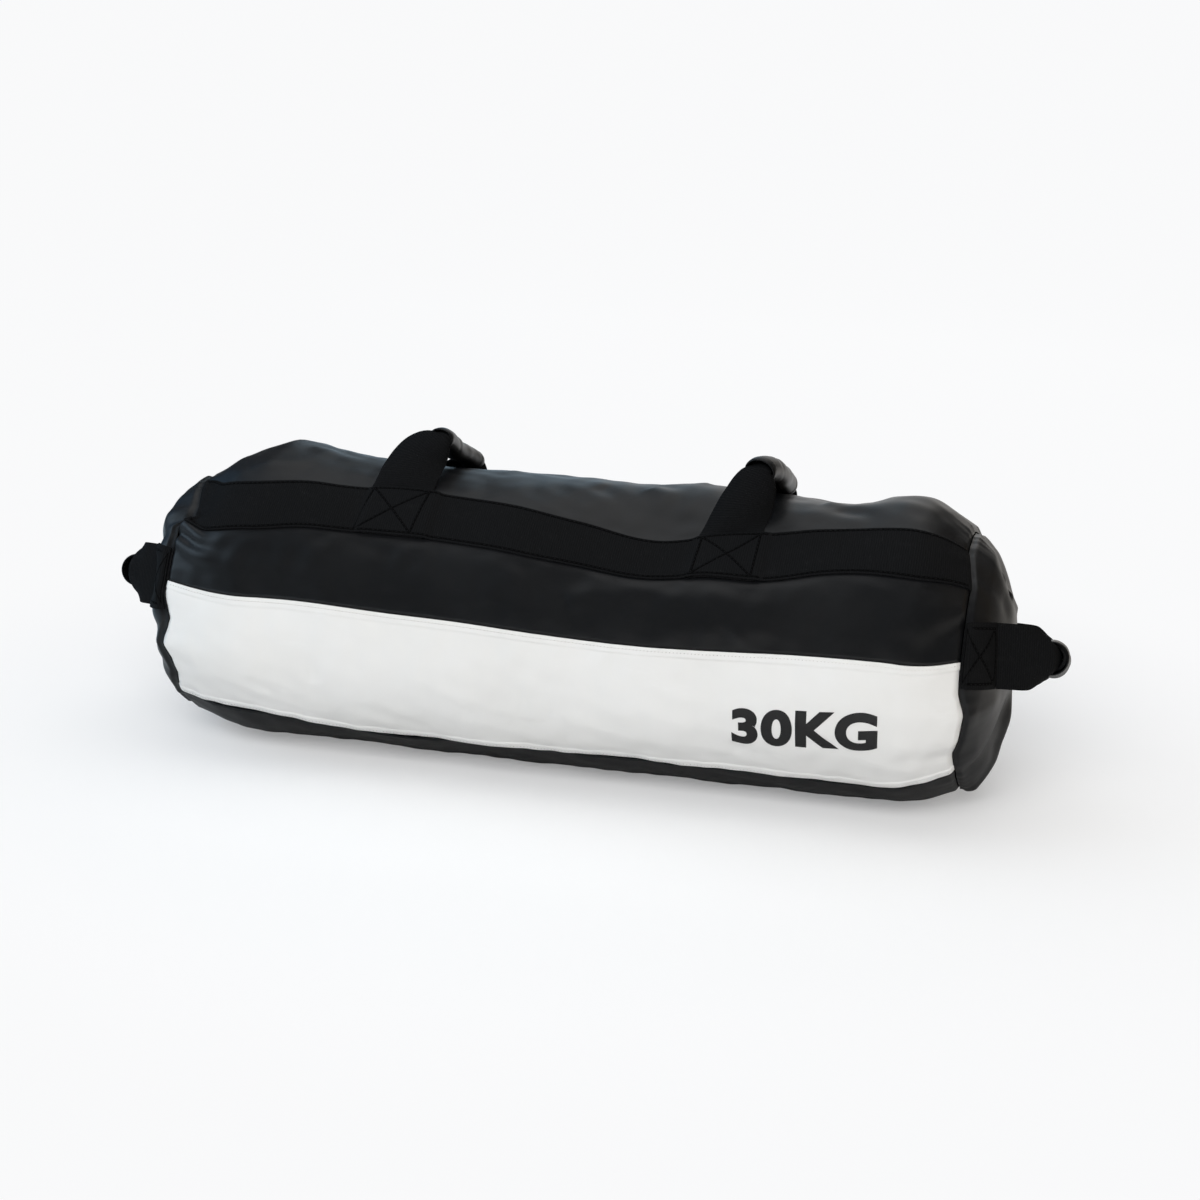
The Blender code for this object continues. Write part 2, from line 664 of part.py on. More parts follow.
def slider_outline():
    """The slider's section round the bag: two plates, a thin post between them that
    runs between the coils, and lips that reach down beside the coils."""
    half = SLIDER_WIDTH / 2
    post = COIL_PARTING / 2 - SEWN_GAP
    plate_low = SEWN_GAP + COIL_HEIGHT + SLIDER_PLAY
    plate_high = plate_low + SLIDER_PLATE
    under = -ZIP_TAPE_WALL - SLIDER_SINK
    lip = half - SLIDER_LIP
    right = [(post, under), (half, under), (half, under - SLIDER_PLATE)]
    top = [(half, plate_high), (half, SLIDER_PLAY), (lip, SLIDER_PLAY), (lip, plate_low), (post, plate_low)]
    left = [(-x, y) for x, y in reversed(right)]
    return right + left + [(-x, y) for x, y in reversed(top)] + top


def outline_block(name, outline, length, finish):
    """An outline in the frame's round and outward directions, drawn out along X."""
    curve = bpy.data.curves.new(name, "CURVE")
    curve.dimensions = "2D"
    curve.fill_mode = "BOTH"
    curve.extrude = length / 2
    spline = curve.splines.new("POLY")
    spline.points.add(len(outline) - 1)
    for point, (across, up) in zip(spline.points, outline):
        point.co = (across, up, 0, 1)
    spline.use_cyclic_u = True
    guide = bpy.data.objects.new(name + "_guide", curve)
    PARTS.objects.link(guide)
    bpy.context.view_layer.update()
    drawn = guide.evaluated_get(bpy.context.evaluated_depsgraph_get())
    data = bpy.data.meshes.new_from_object(drawn)
    mesh = bmesh.new()
    mesh.from_mesh(data)
    bpy.data.objects.remove(guide, do_unlink=True)
    bmesh.ops.remove_doubles(mesh, verts=mesh.verts, dist=WELD_DISTANCE)
    stand = Matrix(((0, 0, 1), (1, 0, 0), (0, 1, 0))).to_4x4()
    bmesh.ops.transform(mesh, matrix=stand, verts=mesh.verts)
    bmesh.ops.recalc_face_normals(mesh, faces=mesh.faces)
    return part(name, mesh, finish, smooth=False)


def cylinder(name, radius, length, frame, finish):
    """A cylinder along the frame's second direction, centred on its origin."""
    mesh = bmesh.new()
    bmesh.ops.create_cone(
        mesh, cap_ends=True, segments=PIN_SIDES, radius1=radius, radius2=radius, depth=length,
        matrix=Matrix.Rotation(pi / 2, 4, "X"),
    )
    made = part(name, mesh, finish)
    made.matrix_world = frame
    return made


def combine(target, tool, operation):
    """Join a tool to a target or cut it out, and put the tool among the cutters."""
    join = target.modifiers.new(operation.lower(), "BOOLEAN")
    join.operation = operation
    join.solver = "EXACT"
    join.object = tool
    PARTS.objects.unlink(tool)
    CUTTERS.objects.link(tool)
    tool.hide_render = True
    tool.display_type = "WIRE"


def make_slider_and_pull():
    """The slider, closed at the right end of the zip, and its pull on a pin."""
    left, right = zip_ends()
    frame = zip_frame(right - SEWN_GAP - SLIDER_LENGTH / 2)
    plate_high = SEWN_GAP + COIL_HEIGHT + SLIDER_PLAY + SLIDER_PLATE
    pin_high = plate_high + SEWN_GAP + PULL_KNUCKLE_RADIUS
    ear_high = pin_high + PULL_KNUCKLE_RADIUS
    pin_frame = frame @ Matrix.Translation((0, 0, pin_high))
    slider = outline_block("zip_slider", slider_outline(), SLIDER_LENGTH, ZIP_METAL)
    slider.matrix_world = frame
    ear_near = PULL_KNUCKLE_WIDTH / 2 + PULL_PIN_PLAY
    for sign in (-1, 1):
        across = sorted((sign * ear_near, sign * (ear_near + EAR_THICKNESS)))
        low = (-EAR_WIDTH / 2, across[0], plate_high - SLIDER_PLATE / 2)
        ear = block(f"ear_tool_{sign + 1}", low, (EAR_WIDTH / 2, across[1], ear_high), frame, ZIP_METAL)
        combine(slider, ear, "UNION")
    pin_span = 2 * (ear_near + EAR_THICKNESS)
    hole = cylinder("pin_hole_tool", PULL_PIN_RADIUS + PULL_PIN_PLAY, 2 * pin_span, pin_frame, ZIP_METAL)
    combine(slider, hole, "DIFFERENCE")
    pull = cylinder("zip_pull", PULL_KNUCKLE_RADIUS, PULL_KNUCKLE_WIDTH, pin_frame, ZIP_METAL)
    pin = cylinder("pin_tool", PULL_PIN_RADIUS, pin_span, pin_frame, ZIP_METAL)
    combine(pull, pin, "UNION")
    neck_low = (-EAR_WIDTH, -PULL_KNUCKLE_WIDTH / 2 + PULL_PIN_PLAY, -PULL_THICKNESS / 2)
    neck_high = (0, PULL_KNUCKLE_WIDTH / 2 - PULL_PIN_PLAY, PULL_THICKNESS / 2)
    combine(pull, block("neck_tool", neck_low, neck_high, pin_frame, ZIP_METAL), "UNION")
    tab_low = (-PULL_LENGTH, -PULL_WIDTH / 2, -PULL_THICKNESS / 2)
    tab_high = (-PULL_NECK, PULL_WIDTH / 2, PULL_THICKNESS / 2)
    tab = block("tab_tool", tab_low, tab_high, pin_frame, ZIP_METAL)
    combine(pull, tab, "UNION")


def filler_span(index):
    """Where a filler bag starts and ends along the bag."""
    low = -HALF_LENGTH - FILLER_END_REACH
    high = HALF_LENGTH + FILLER_END_REACH
    pitch = (high - low + FILLER_SPACING) / FILLER_COUNT
    start = low + pitch * index
    return start, start + pitch - FILLER_SPACING


def filler_point(index, along, angle):
    """A point of a filler bag's outside."""
    start, end = filler_span(index)
    headroom = FILLER_HEADROOM * (1 + sin(angle)) / 2
    full = bag_point(along, angle, -SHELL_WALL - FILLER_CLEARANCE - headroom)
    middle = Vector((full.x, 0, BODY_HEIGHT - FILLER_HEADROOM / 2))
    heel = smooth_share(min((along - start) / FILLER_HEEL, 1))
    heel_share = FILLER_HEEL_SHARE + (1 - FILLER_HEEL_SHARE) * sqrt(heel)
    round_spot = middle + (full - middle) * heel_share
    mouth = Vector((0, -MOUTH_HALF_WIDTH * cos(angle), MOUTH_HALF_HEIGHT * sin(angle)))
    closing = smooth_share((along - end + FILLER_NECK) / FILLER_NECK)
    return round_spot.lerp(middle + mouth, closing)


def filler_mesh(index, along):
    """A filler bag's sheet through its rings, closed with a flat heel at its start."""
    mesh = bmesh.new()
    rings = []
    for place in along:
        angles = [2 * pi * side / FILLER_SIDES for side in range(FILLER_SIDES)]
        rings.append([mesh.verts.new(filler_point(index, place, angle)) for angle in angles])
    for near, far in zip(rings, rings[1:]):
        for side in range(FILLER_SIDES):
            mesh.faces.new((near[side - 1], near[side], far[side], far[side - 1]))
    mesh.faces.new(rings[0])
    return mesh, rings[-1]


def make_filler(index, name):
    """A filler bag with an open neck, its sand, and the tapes that close the neck."""
    start, end = filler_span(index)
    body_end = end - FILLER_NECK
    along = stations([start, start + FILLER_HEEL], FILLER_HEEL / HEEL_STEPS)
    along += stations([start + FILLER_HEEL, body_end], ALONG_STEP)[1:]
    neck = stations([body_end, end], FILLER_NECK / NECK_STEPS)[1:]
    mesh, _ = filler_mesh(index, along + neck)
    bmesh.ops.recalc_face_normals(mesh, faces=mesh.faces)
    faced_outwards(mesh, Vector((CENTRE_X + (start + end) / 2, 0, BODY_HEIGHT)))
    give_wall(part(f"filler_bag_{name}", mesh, FILLER_CLOTH), FILLER_WALL, -1)
    mesh, last_ring = filler_mesh(index, along)
    mesh.faces.new(last_ring)
    bmesh.ops.recalc_face_normals(mesh, faces=mesh.faces)
    mesh.normal_update()
    inset = FILLER_WALL + SEWN_GAP
    moves = [corner.normal * inset * corner.calc_shell_factor() for corner in mesh.verts]
    for corner, move in zip(mesh.verts, moves):
        corner.co -= move
    part(f"sand_{name}", mesh, SAND)
    make_closure(end, name)


def make_closure(end, name):
    """The hook tape and the loop tape, face to face inside a filler bag's mouth."""
    middle = BODY_HEIGHT - FILLER_HEADROOM / 2
    frame = Matrix.Translation((CENTRE_X + end - SEWN_GAP, 0, middle))
    half = CLOSURE_WIDTH / 2
    near = SEWN_GAP / 2
    far = near + CLOSURE_WALL
    block(f"hook_tape_{name}", (-CLOSURE_DEPTH, -half, near), (0, half, far), frame, CLOSURE_TAPE)
    block(f"loop_tape_{name}", (-CLOSURE_DEPTH, -half, -far), (0, half, -near), frame, CLOSURE_TAPE)


clear_scene()
PARTS = collection("sandbag_trainer")
CUTTERS = collection("cutters")
make_panels()
make_zip_tapes()
make_zip_coils()
make_slider_and_pull()
for place_name in SIDE_SIGNS:
    make_strap(place_name)
for side_name in SIDES:
    make_end_cap(side_name)
    make_top_handle(side_name)
    make_end_handle(side_name)
    for place_name in SIDE_SIGNS:
        make_top_tail(side_name, place_name)
        make_end_tail(side_name, place_name)
for filler_index, filler_name in enumerate(("left", "middle", "right")):
    make_filler(filler_index, filler_name)
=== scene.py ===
# %% [markdown]
# # A sandbag trainer
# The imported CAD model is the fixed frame: it says how big the bag is, where its seams and
# handles lie and what turns. This lesson dresses it. The soft shell, the webbing, the grips
# and the zip are modelled finely around that frame, and every surface gets a material that
# is built from nodes. Everything is in metres, X runs along the bag, -Y is its front.

from math import asin, cos, pi, radians, sin, sqrt
from random import Random

import bmesh
import bpy
import numpy as np
from mathutils import Matrix, Vector


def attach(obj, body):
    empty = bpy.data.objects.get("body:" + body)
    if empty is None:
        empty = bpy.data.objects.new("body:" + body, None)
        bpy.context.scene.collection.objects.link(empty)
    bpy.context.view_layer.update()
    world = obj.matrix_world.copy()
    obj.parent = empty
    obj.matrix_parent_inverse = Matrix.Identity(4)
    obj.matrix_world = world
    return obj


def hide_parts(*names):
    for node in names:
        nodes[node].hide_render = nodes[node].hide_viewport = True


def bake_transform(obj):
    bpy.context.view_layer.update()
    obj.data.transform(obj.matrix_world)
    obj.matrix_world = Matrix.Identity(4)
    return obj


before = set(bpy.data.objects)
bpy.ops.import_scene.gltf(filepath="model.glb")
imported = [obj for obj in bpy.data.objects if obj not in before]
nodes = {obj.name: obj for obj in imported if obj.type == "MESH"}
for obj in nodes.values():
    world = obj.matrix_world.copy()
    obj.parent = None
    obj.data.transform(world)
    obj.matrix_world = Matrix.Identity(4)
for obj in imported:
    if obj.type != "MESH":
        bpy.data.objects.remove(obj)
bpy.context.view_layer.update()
print("CAD nodes:", len(nodes))


def place_object(name, data):
    """An object with its data, in the scene."""
    made = bpy.data.objects.new(name, data)
    bpy.context.scene.collection.objects.link(made)
    return made


def turn_to(x_way, y_way, z_way):
    """The turn that sends the three axes to three directions."""
    return Matrix((x_way, y_way, z_way)).transposed().to_4x4()


# %% [markdown]
# ## The camera
# The photograph was taken from a little to the right of the bag's middle, looking down at
# it. The bag fills most of a square picture, so a longish lens stands well back. The camera
# is rolled by about one degree, as hand-held ones are.

# %% Camera
LOOK_AT = Vector((0.01045, 0, 0.1325))
CAMERA_AZIMUTH = radians(13.0)
CAMERA_ELEVATION = radians(18.8)
CAMERA_ROLL = radians(1.2)
CAMERA_DISTANCE = 1.855
LENS_MM = 68.6
SENSOR_MM = 36


def make_camera():
    """The camera that took the photograph: its lens, its place and its turn."""
    level = cos(CAMERA_ELEVATION)
    ahead = Vector((-sin(CAMERA_AZIMUTH) * level, cos(CAMERA_AZIMUTH) * level, -sin(CAMERA_ELEVATION)))
    right = Vector((cos(CAMERA_AZIMUTH), sin(CAMERA_AZIMUTH), 0))
    up = right.cross(ahead)
    rolled_right = right * cos(CAMERA_ROLL) + up * sin(CAMERA_ROLL)
    rolled_up = up * cos(CAMERA_ROLL) - right * sin(CAMERA_ROLL)
    data = bpy.data.cameras.new("camera")
    data.lens = LENS_MM
    data.sensor_width = SENSOR_MM
    camera = place_object("camera", data)
    turn = turn_to(rolled_right, rolled_up, -ahead)
    camera.matrix_world = Matrix.Translation(LOOK_AT - ahead * CAMERA_DISTANCE) @ turn
    bpy.context.scene.camera = camera


make_camera()
bpy.context.scene.view_settings.view_transform = "Standard"

# %% [markdown]
# ## The bag's form
# The filled shell is a loft: a round section that narrows over a shoulder to each end seam.
# It isn't stiff, so its top sags, there is a dent over the front strap, and the seams have
# slid down beside it. These are the CAD's own driving sizes, and a list of smaller slides
# that only the fine skin has. All the functions work on whole arrays of points, so that a
# fine skin is quick to make.

# %% Driving sizes
CENTRE_X = -0.00635
HALF_LENGTH = 0.318
BODY_RADIUS = 0.1213
RIM_RADIUS = 0.1027
RIM_DROP = 0.0038
RIM_HEIGHT = 0.1132
BODY_HEIGHT = RIM_HEIGHT + RIM_DROP
LEFT_SHOULDER = 0.080
RIGHT_SHOULDER = 0.051
BAG_ROLL = radians(14.7)
DOME_DEPTHS = {"left": 0.026, "right": 0.034}
DOME_POWER_SHARES = {"left": 0.5, "right": 0.7}
SIDES = {"left": -1, "right": 1}
PLACES = {"front": 1, "rear": -1}
TOP_SAG = 0.0085
SAG_ANGLE = radians(95)
SAG_SPAN = radians(89)
SAG_LEFT_RAMP = 0.092
SAG_RIGHT_RAMP = 0.065
DENT_DEPTH = 0.0125
DENT_ANGLE = radians(59.5)
DENT_SPAN = radians(34)
DENT_MIDDLE = 0.087
DENT_REACH = 0.1335
SEAM_DROOP = radians(8.4)
DROOP_ANGLE = radians(70.5)
DROOP_SPAN = radians(93)
DROOP_MIDDLE = 0.062
DROOP_REACH = 0.184
END_TURN = radians(6.6)
END_TURN_SPAN = radians(90)
SEAM_SLIDES = (
    # angle and span in degrees, place along, reach along, slide in degrees: up the front is above zero
    (68, 44, -0.316, 0.032, 6.5),
    (68, 44, -0.262, 0.062, -4.5),
    (68, 44, -0.200, 0.070, -1.5),
    (44, 30, -0.300, 0.050, -3.5),
    (44, 30, -0.255, 0.062, -1.5),
    (68, 44, 0.070, 0.060, -2.5),
    (68, 44, 0.130, 0.055, 1.5),
    (44, 30, 0.020, 0.050, 0.8),
    (44, 30, 0.158, 0.050, -2.0),
    (44, 30, 0.235, 0.055, 1.0),
    (56, 42, 0.318, 0.045, 3.0),
    (14, 30, -0.205, 0.100, 1.5),
    (14, 30, 0.316, 0.060, -2.0),
    (-43, 34, -0.245, 0.085, 5.5),
    (-43, 34, -0.100, 0.090, -1.5),
    (-43, 34, 0.290, 0.050, 1.5),
)
SEAM_GAP = 0.0003
SHELL_WALL = 0.0014
WEBBING_WALL = 0.0015
WEBBING_WIDTH = 0.050


# %% The smooth form
def swell(distance, reach):
    """1 at no distance, falling softly to 0 at the reach."""
    return np.cos(np.clip(np.abs(distance) / reach, 0, 1) * pi / 2) ** 2


def smooth_share(share):
    """0 to 1 with a soft start and end."""
    share = np.clip(share, 0, 1)
    return share * share * (3 - 2 * share)


def bell(distance, width):
    """1 at no distance, falling softly on both sides, with no end."""
    return np.exp(-((distance / width) ** 2))


def beside_line(step_x, step_y, run):
    """How far along a line places are, as a share, how far off it, and the line's length."""
    length = np.hypot(*run)
    ahead = run / length
    on = (step_x * ahead[0] + step_y * ahead[1]) / length
    return on, step_y * ahead[0] - step_x * ahead[1], length


def turn_between(angle, middle):
    """The shortest turn from one angle round the bag to another."""
    return (angle - middle + pi) % (2 * pi) - pi


def shoulder_rise(along):
    """0 at an end seam, 1 where the shoulder has reached the full section."""
    shoulder = np.where(along < 0, LEFT_SHOULDER, RIGHT_SHOULDER)
    return np.sin(np.clip((HALF_LENGTH - np.abs(along)) / shoulder, 0, 1) * pi / 2)


def sag_depth(along, angle):
    """How far the slack shell hangs in from its round section."""
    ramp = np.where(along < 0, SAG_LEFT_RAMP, SAG_RIGHT_RAMP)
    shoulder = np.where(along < 0, LEFT_SHOULDER, RIGHT_SHOULDER)
    past = smooth_share((HALF_LENGTH - shoulder - np.abs(along)) / ramp)
    sag = TOP_SAG * past * swell(turn_between(angle, SAG_ANGLE), SAG_SPAN)
    dent = DENT_DEPTH * swell(turn_between(angle, DENT_ANGLE), DENT_SPAN)
    return sag + dent * swell(along - DENT_MIDDLE, DENT_REACH)


def seam_turn(along, angle):
    """How far a seam at an angle has slid round the bag, as in the CAD."""
    droop = SEAM_DROOP * swell(turn_between(angle, DROOP_ANGLE), DROOP_SPAN)
    end_turn = END_TURN * (1 - shoulder_rise(along)) * swell(turn_between(angle, 0), END_TURN_SPAN)
    return end_turn - droop * swell(along - DROOP_MIDDLE, DROOP_REACH)


def seam_slide(along, angle):
    """The smaller slides of the seams, which only the fine skin has."""
    total = np.zeros_like(along)
    for middle, span, place, reach, slide in SEAM_SLIDES:
        near = swell(turn_between(angle, radians(middle)), radians(span)) * swell(along - place, reach)
        total += radians(slide) * near
    return total


# %% [markdown]
# ## Folds and puckers
# A flat sheet that is sewn to a round end is gathered at the seam, and the slack between
# the straps falls into long soft folds. Each fold here is a ridge, or with a height below
# zero a valley, along a line on the skin: from one place to another, widening on its way.
# The end seams also wander, by the shifts that show in the photograph.

# %% Folds
FOLDS = (
    # start along, start angle, end along, end angle, start width, end width, height
    (-0.313, 43.5, -0.245, 31.0, 0.007, 0.021, 0.0042),
    (-0.312, 48.0, -0.268, 40.0, 0.004, 0.009, -0.0034),
    (-0.316, 34.5, -0.220, 20.5, 0.007, 0.020, 0.0032),
    (-0.315, 38.8, -0.225, 27.0, 0.004, 0.013, -0.0030),
    (-0.310, 64.0, -0.262, 70.0, 0.008, 0.014, -0.0020),
    (-0.262, 76.0, -0.190, 80.0, 0.006, 0.012, 0.0013),
    (-0.225, 92.0, -0.150, 86.0, 0.008, 0.016, 0.0014),
    (0.317, 28.5, 0.262, 11.0, 0.006, 0.017, -0.0036),
    (0.317, 34.0, 0.240, 24.0, 0.008, 0.022, 0.0024),
    (0.316, 69.5, 0.286, 73.0, 0.004, 0.009, -0.0017),
    (0.316, 59.0, 0.280, 55.0, 0.005, 0.010, 0.0012),
    (0.200, 90.0, 0.268, 79.0, 0.007, 0.012, 0.0018),
    (0.212, 82.0, 0.262, 71.0, 0.006, 0.011, -0.0013),
    (0.060, 97.0, 0.104, 79.0, 0.009, 0.016, 0.0020),
    (0.020, 92.0, 0.058, 76.0, 0.010, 0.016, -0.0012),
    (0.020, 29.0, 0.098, 45.0, 0.010, 0.018, 0.0017),
    (-0.012, 31.0, 0.046, 47.0, 0.009, 0.014, -0.0016),
    (0.150, 20.0, 0.205, 44.0, 0.011, 0.019, 0.0013),
    (0.316, -24.0, 0.250, -17.0, 0.006, 0.013, 0.0011),
    (0.316, -31.0, 0.262, -24.0, 0.004, 0.010, -0.0010),
    (-0.316, -14.0, -0.262, -8.0, 0.006, 0.014, 0.0011),
    (-0.316, 3.0, -0.275, 5.0, 0.005, 0.011, -0.0009),
    (-0.314, 118.0, -0.235, 128.0, 0.007, 0.019, 0.0032),
    (-0.315, 127.0, -0.250, 140.0, 0.006, 0.014, -0.0026),
    (-0.316, 158.0, -0.240, 166.0, 0.007, 0.018, 0.0028),
    (0.316, 122.0, 0.255, 133.0, 0.007, 0.016, 0.0026),
    (0.316, 150.0, 0.262, 160.0, 0.006, 0.015, -0.0026),
    (0.316, 172.0, 0.250, 166.0, 0.007, 0.018, 0.0024),
    (-0.150, 160.0, -0.055, 171.0, 0.010, 0.020, 0.0018),
    (0.060, 158.0, 0.150, 170.0, 0.010, 0.018, 0.0018),
    # room for the right grip's far end when it swings over
    (0.100, 114.0, 0.190, 128.0, 0.009, 0.016, -0.0019),
    (-0.316, 205.0, -0.250, 214.0, 0.007, 0.017, 0.0024),
    (0.316, 207.0, 0.246, 200.0, 0.007, 0.017, -0.0024),
)
SEAM_SHIFTS = {
    # angle in degrees, shift along the bag in millimetres
    "left": (
        (-64, 0), (-37, 0.6), (-27, 3.3), (-17, 0.7), (-10.8, -4.1), (2.5, 3.7), (11.5, -0.8), (20, 0.7),
        (28, 1.3), (39.8, 2.3), (46.4, 1.8), (49.4, 13.4), (58, 13.0), (74, 6.8), (100, 3), (130, 0),
    ),
    "right": (
        (-64, 0), (-39, -2.7), (-27.5, -4.8), (-18.2, -0.5), (-5.5, 2.2), (3.7, -2.8), (17.8, -3.3),
        (38, -2.7), (51.8, -1.7), (60, -4), (71.5, -7.4), (90, -6.5), (106, -5.6), (135, -1),
    ),
}
FOLD_BEGIN = 0.006
SHIFT_REACH = 0.050
SHIFT_BLUR = radians(1.1)
BLUR_TAPS = 3
TABLE_STEP = radians(0.25)
REAR_FROM = radians(120)
REAR_FROM_RAMP = radians(30)
REAR_TO = radians(255)
REAR_TO_RAMP = radians(15)
REAR_WANDER = 0.0024
REAR_WAVES = 9
PUCKER_HEIGHT = 0.0007
PUCKER_REACH = 0.011
# waves round the bag, share of the height, phase
PUCKER_WAVES = ((29, 0.55, 0.0), (47, 0.40, 1.3), (71, 0.28, 2.1), (13, 0.35, 4.0))
PUCKER_FADE = 0.35
PUCKER_FADE_WAVES = 5
PUCKER_FADE_PHASE = 0.7
GROOVE_DEPTH = 0.0030
GROOVE_WIDTH = 0.0020


def folds(along, angle):
    """The height of all the folds at places on the skin."""
    total = np.zeros_like(along)
    for near, near_deg, far, far_deg, near_wide, far_wide, height in FOLDS:
        run = np.array((far - near, radians(far_deg - near_deg) * BODY_RADIUS))
        around = turn_between(angle, radians(near_deg)) * BODY_RADIUS
        on, off, length = beside_line(along - near, around, run)
        wide = near_wide + (far_wide - near_wide) * np.clip(on, 0, 1)
        taper = smooth_share(1 + on * length / FOLD_BEGIN) * (1 - smooth_share(on))
        total += height * taper * bell(off, wide)
    return total


def shift_table(side):
    """An end seam's wander along the bag at even steps round it."""
    angles = np.arange(-pi / 2, 3 * pi / 2, TABLE_STEP)
    known = np.array(SEAM_SHIFTS[side], float)
    shift = np.interp(angles, np.radians(known[:, 0]), known[:, 1] / 1000, left=0, right=0)
    hidden = smooth_share((angles - REAR_FROM) / REAR_FROM_RAMP)
    hidden *= 1 - smooth_share((angles - REAR_TO) / REAR_TO_RAMP)
    shift += hidden * REAR_WANDER * np.sin(REAR_WAVES * angles + SIDES[side])
    spread = np.arange(-BLUR_TAPS, BLUR_TAPS + 1) * SHIFT_BLUR / 2
    weights = bell(spread, SHIFT_BLUR)
    blurred = sum(w * np.interp(angles + s, angles, shift) for s, w in zip(spread, weights))
    return angles, blurred / weights.sum()


SHIFT_TABLES = {side: shift_table(side) for side in SIDES}


def seam_shift(side, angle):
    """An end seam's wander at angles round the bag."""
    angles, shift = SHIFT_TABLES[side]
    return np.interp((angle + pi / 2) % (2 * pi) - pi / 2, angles, shift)


def puckers(angle, from_seam):
    """The small gathers beside an end seam."""
    wave = sum(share * np.sin(count * angle + phase) for count, share, phase in PUCKER_WAVES)
    slow = 1 - PUCKER_FADE + PUCKER_FADE * np.sin(PUCKER_FADE_WAVES * angle + PUCKER_FADE_PHASE)
    return PUCKER_HEIGHT * slow * wave * np.exp(-from_seam / PUCKER_REACH)


def groove(from_seam):
    """The skin turns in to the seam allowance on both sides of an end seam."""
    return GROOVE_DEPTH * bell(from_seam, GROOVE_WIDTH)


# %% [markdown]
# Sand settles unevenly, so there are also shallow dents without a plan, broad ones and fine
# ones. They are sums of a few waves with seeded directions. Under the straps the fine ones
# are left out, because webbing is stiffer than vinyl and lies smoothly.

# %% Settled dents
WAVE_SEED = 11
BROAD_HEIGHT = 0.00042
FINE_HEIGHT = 0.00009
rng = Random(WAVE_SEED)


def drawn_waves(count, low, high):
    """Seeded waves: the number of each lies between two limits, and it has a direction and a phase."""
    return [(rng.uniform(low, high), rng.uniform(0, pi), rng.uniform(0, 2 * pi)) for _ in range(count)]


BROAD_WAVES = drawn_waves(9, 45, 90)
FINE_WAVES = drawn_waves(14, 150, 330)
STRAP_EDGE = radians(52.8)
STRAP_ARC = WEBBING_WIDTH / BODY_RADIUS
STRAP_TOP = {"front": BAG_ROLL + STRAP_EDGE, "rear": BAG_ROLL + pi - STRAP_EDGE}
STRAP_LOW = {"front": STRAP_TOP["front"] - STRAP_ARC, "rear": STRAP_TOP["rear"] + STRAP_ARC}
STRAP_COVER_BLUR = radians(4)
PANEL_TOP = radians(13.8)
PANEL_WIDTH = 0.1205
PANEL_LOW = PANEL_TOP - PANEL_WIDTH / BODY_RADIUS
ZIP_ANGLE = radians(184)
FACET_SINK = 0.0105
FACET_LENGTH = 0.058
FACET_ANGLE = radians(113)
FACET_SPAN = radians(48)
RIDGE_HEIGHT = 0.0050
RIDGE_PLACE = -0.2475
RIDGE_WIDTH = 0.020
RIDGE_POWER = 1.5
RIDGE_ANGLE = radians(106)
RIDGE_SPAN = radians(52)
SADDLE_DEPTH = 0.0034
SADDLE_PLACE = 0.222
SADDLE_WIDTH = 0.030
SADDLE_ANGLE = radians(104)
SADDLE_SPAN = radians(42)
CREST_HEIGHT = 0.0024
CREST_PLACE = 0.104
CREST_WIDTH = 0.026
CREST_ANGLE = radians(108)
CREST_SPAN = radians(40)


def waves(along, angle, parts, height):
    """A sum of waves over the flat skin."""
    arc = angle * BODY_RADIUS
    total = np.zeros_like(along)
    for number, way, phase in parts:
        total += np.sin(number * (along * cos(way) + arc * sin(way)) + phase)
    return total * height


def strap_cover(angle):
    """1 under a strap, 0 off it."""
    cover = np.zeros_like(angle)
    for place in PLACES:
        middle = (STRAP_TOP[place] + STRAP_LOW[place]) / 2
        off = np.abs(turn_between(angle, middle)) - STRAP_ARC / 2
        cover = np.maximum(cover, 1 - smooth_share(off / STRAP_COVER_BLUR))
    return cover


def top_details(along, angle):
    """The flat facet and its ridge at the left, the saddle and the crest at the right."""
    sink = FACET_SINK * (1 - smooth_share((along + HALF_LENGTH) / FACET_LENGTH))
    total = -sink * swell(turn_between(angle, FACET_ANGLE), FACET_SPAN)
    ridge = RIDGE_HEIGHT * np.exp(-np.abs((along - RIDGE_PLACE) / RIDGE_WIDTH) ** RIDGE_POWER)
    total += ridge * swell(turn_between(angle, RIDGE_ANGLE), RIDGE_SPAN)
    saddle = SADDLE_DEPTH * bell(along - SADDLE_PLACE, SADDLE_WIDTH)
    total -= saddle * swell(turn_between(angle, SADDLE_ANGLE), SADDLE_SPAN)
    crest = CREST_HEIGHT * bell(along - CREST_PLACE, CREST_WIDTH)
    return total + crest * swell(turn_between(angle, CREST_ANGLE), CREST_SPAN)


# %% [markdown]
# One function now gives any point of the skin, from how far it is along the bag and the
# angle round it, lifted off the skin by a length. Straps, stitches and print all use it, so
# they follow every dent.

# %% Points on the body's skin
BROAD_START = 0.04
FINE_START = 0.02
FEEL = 0.0004


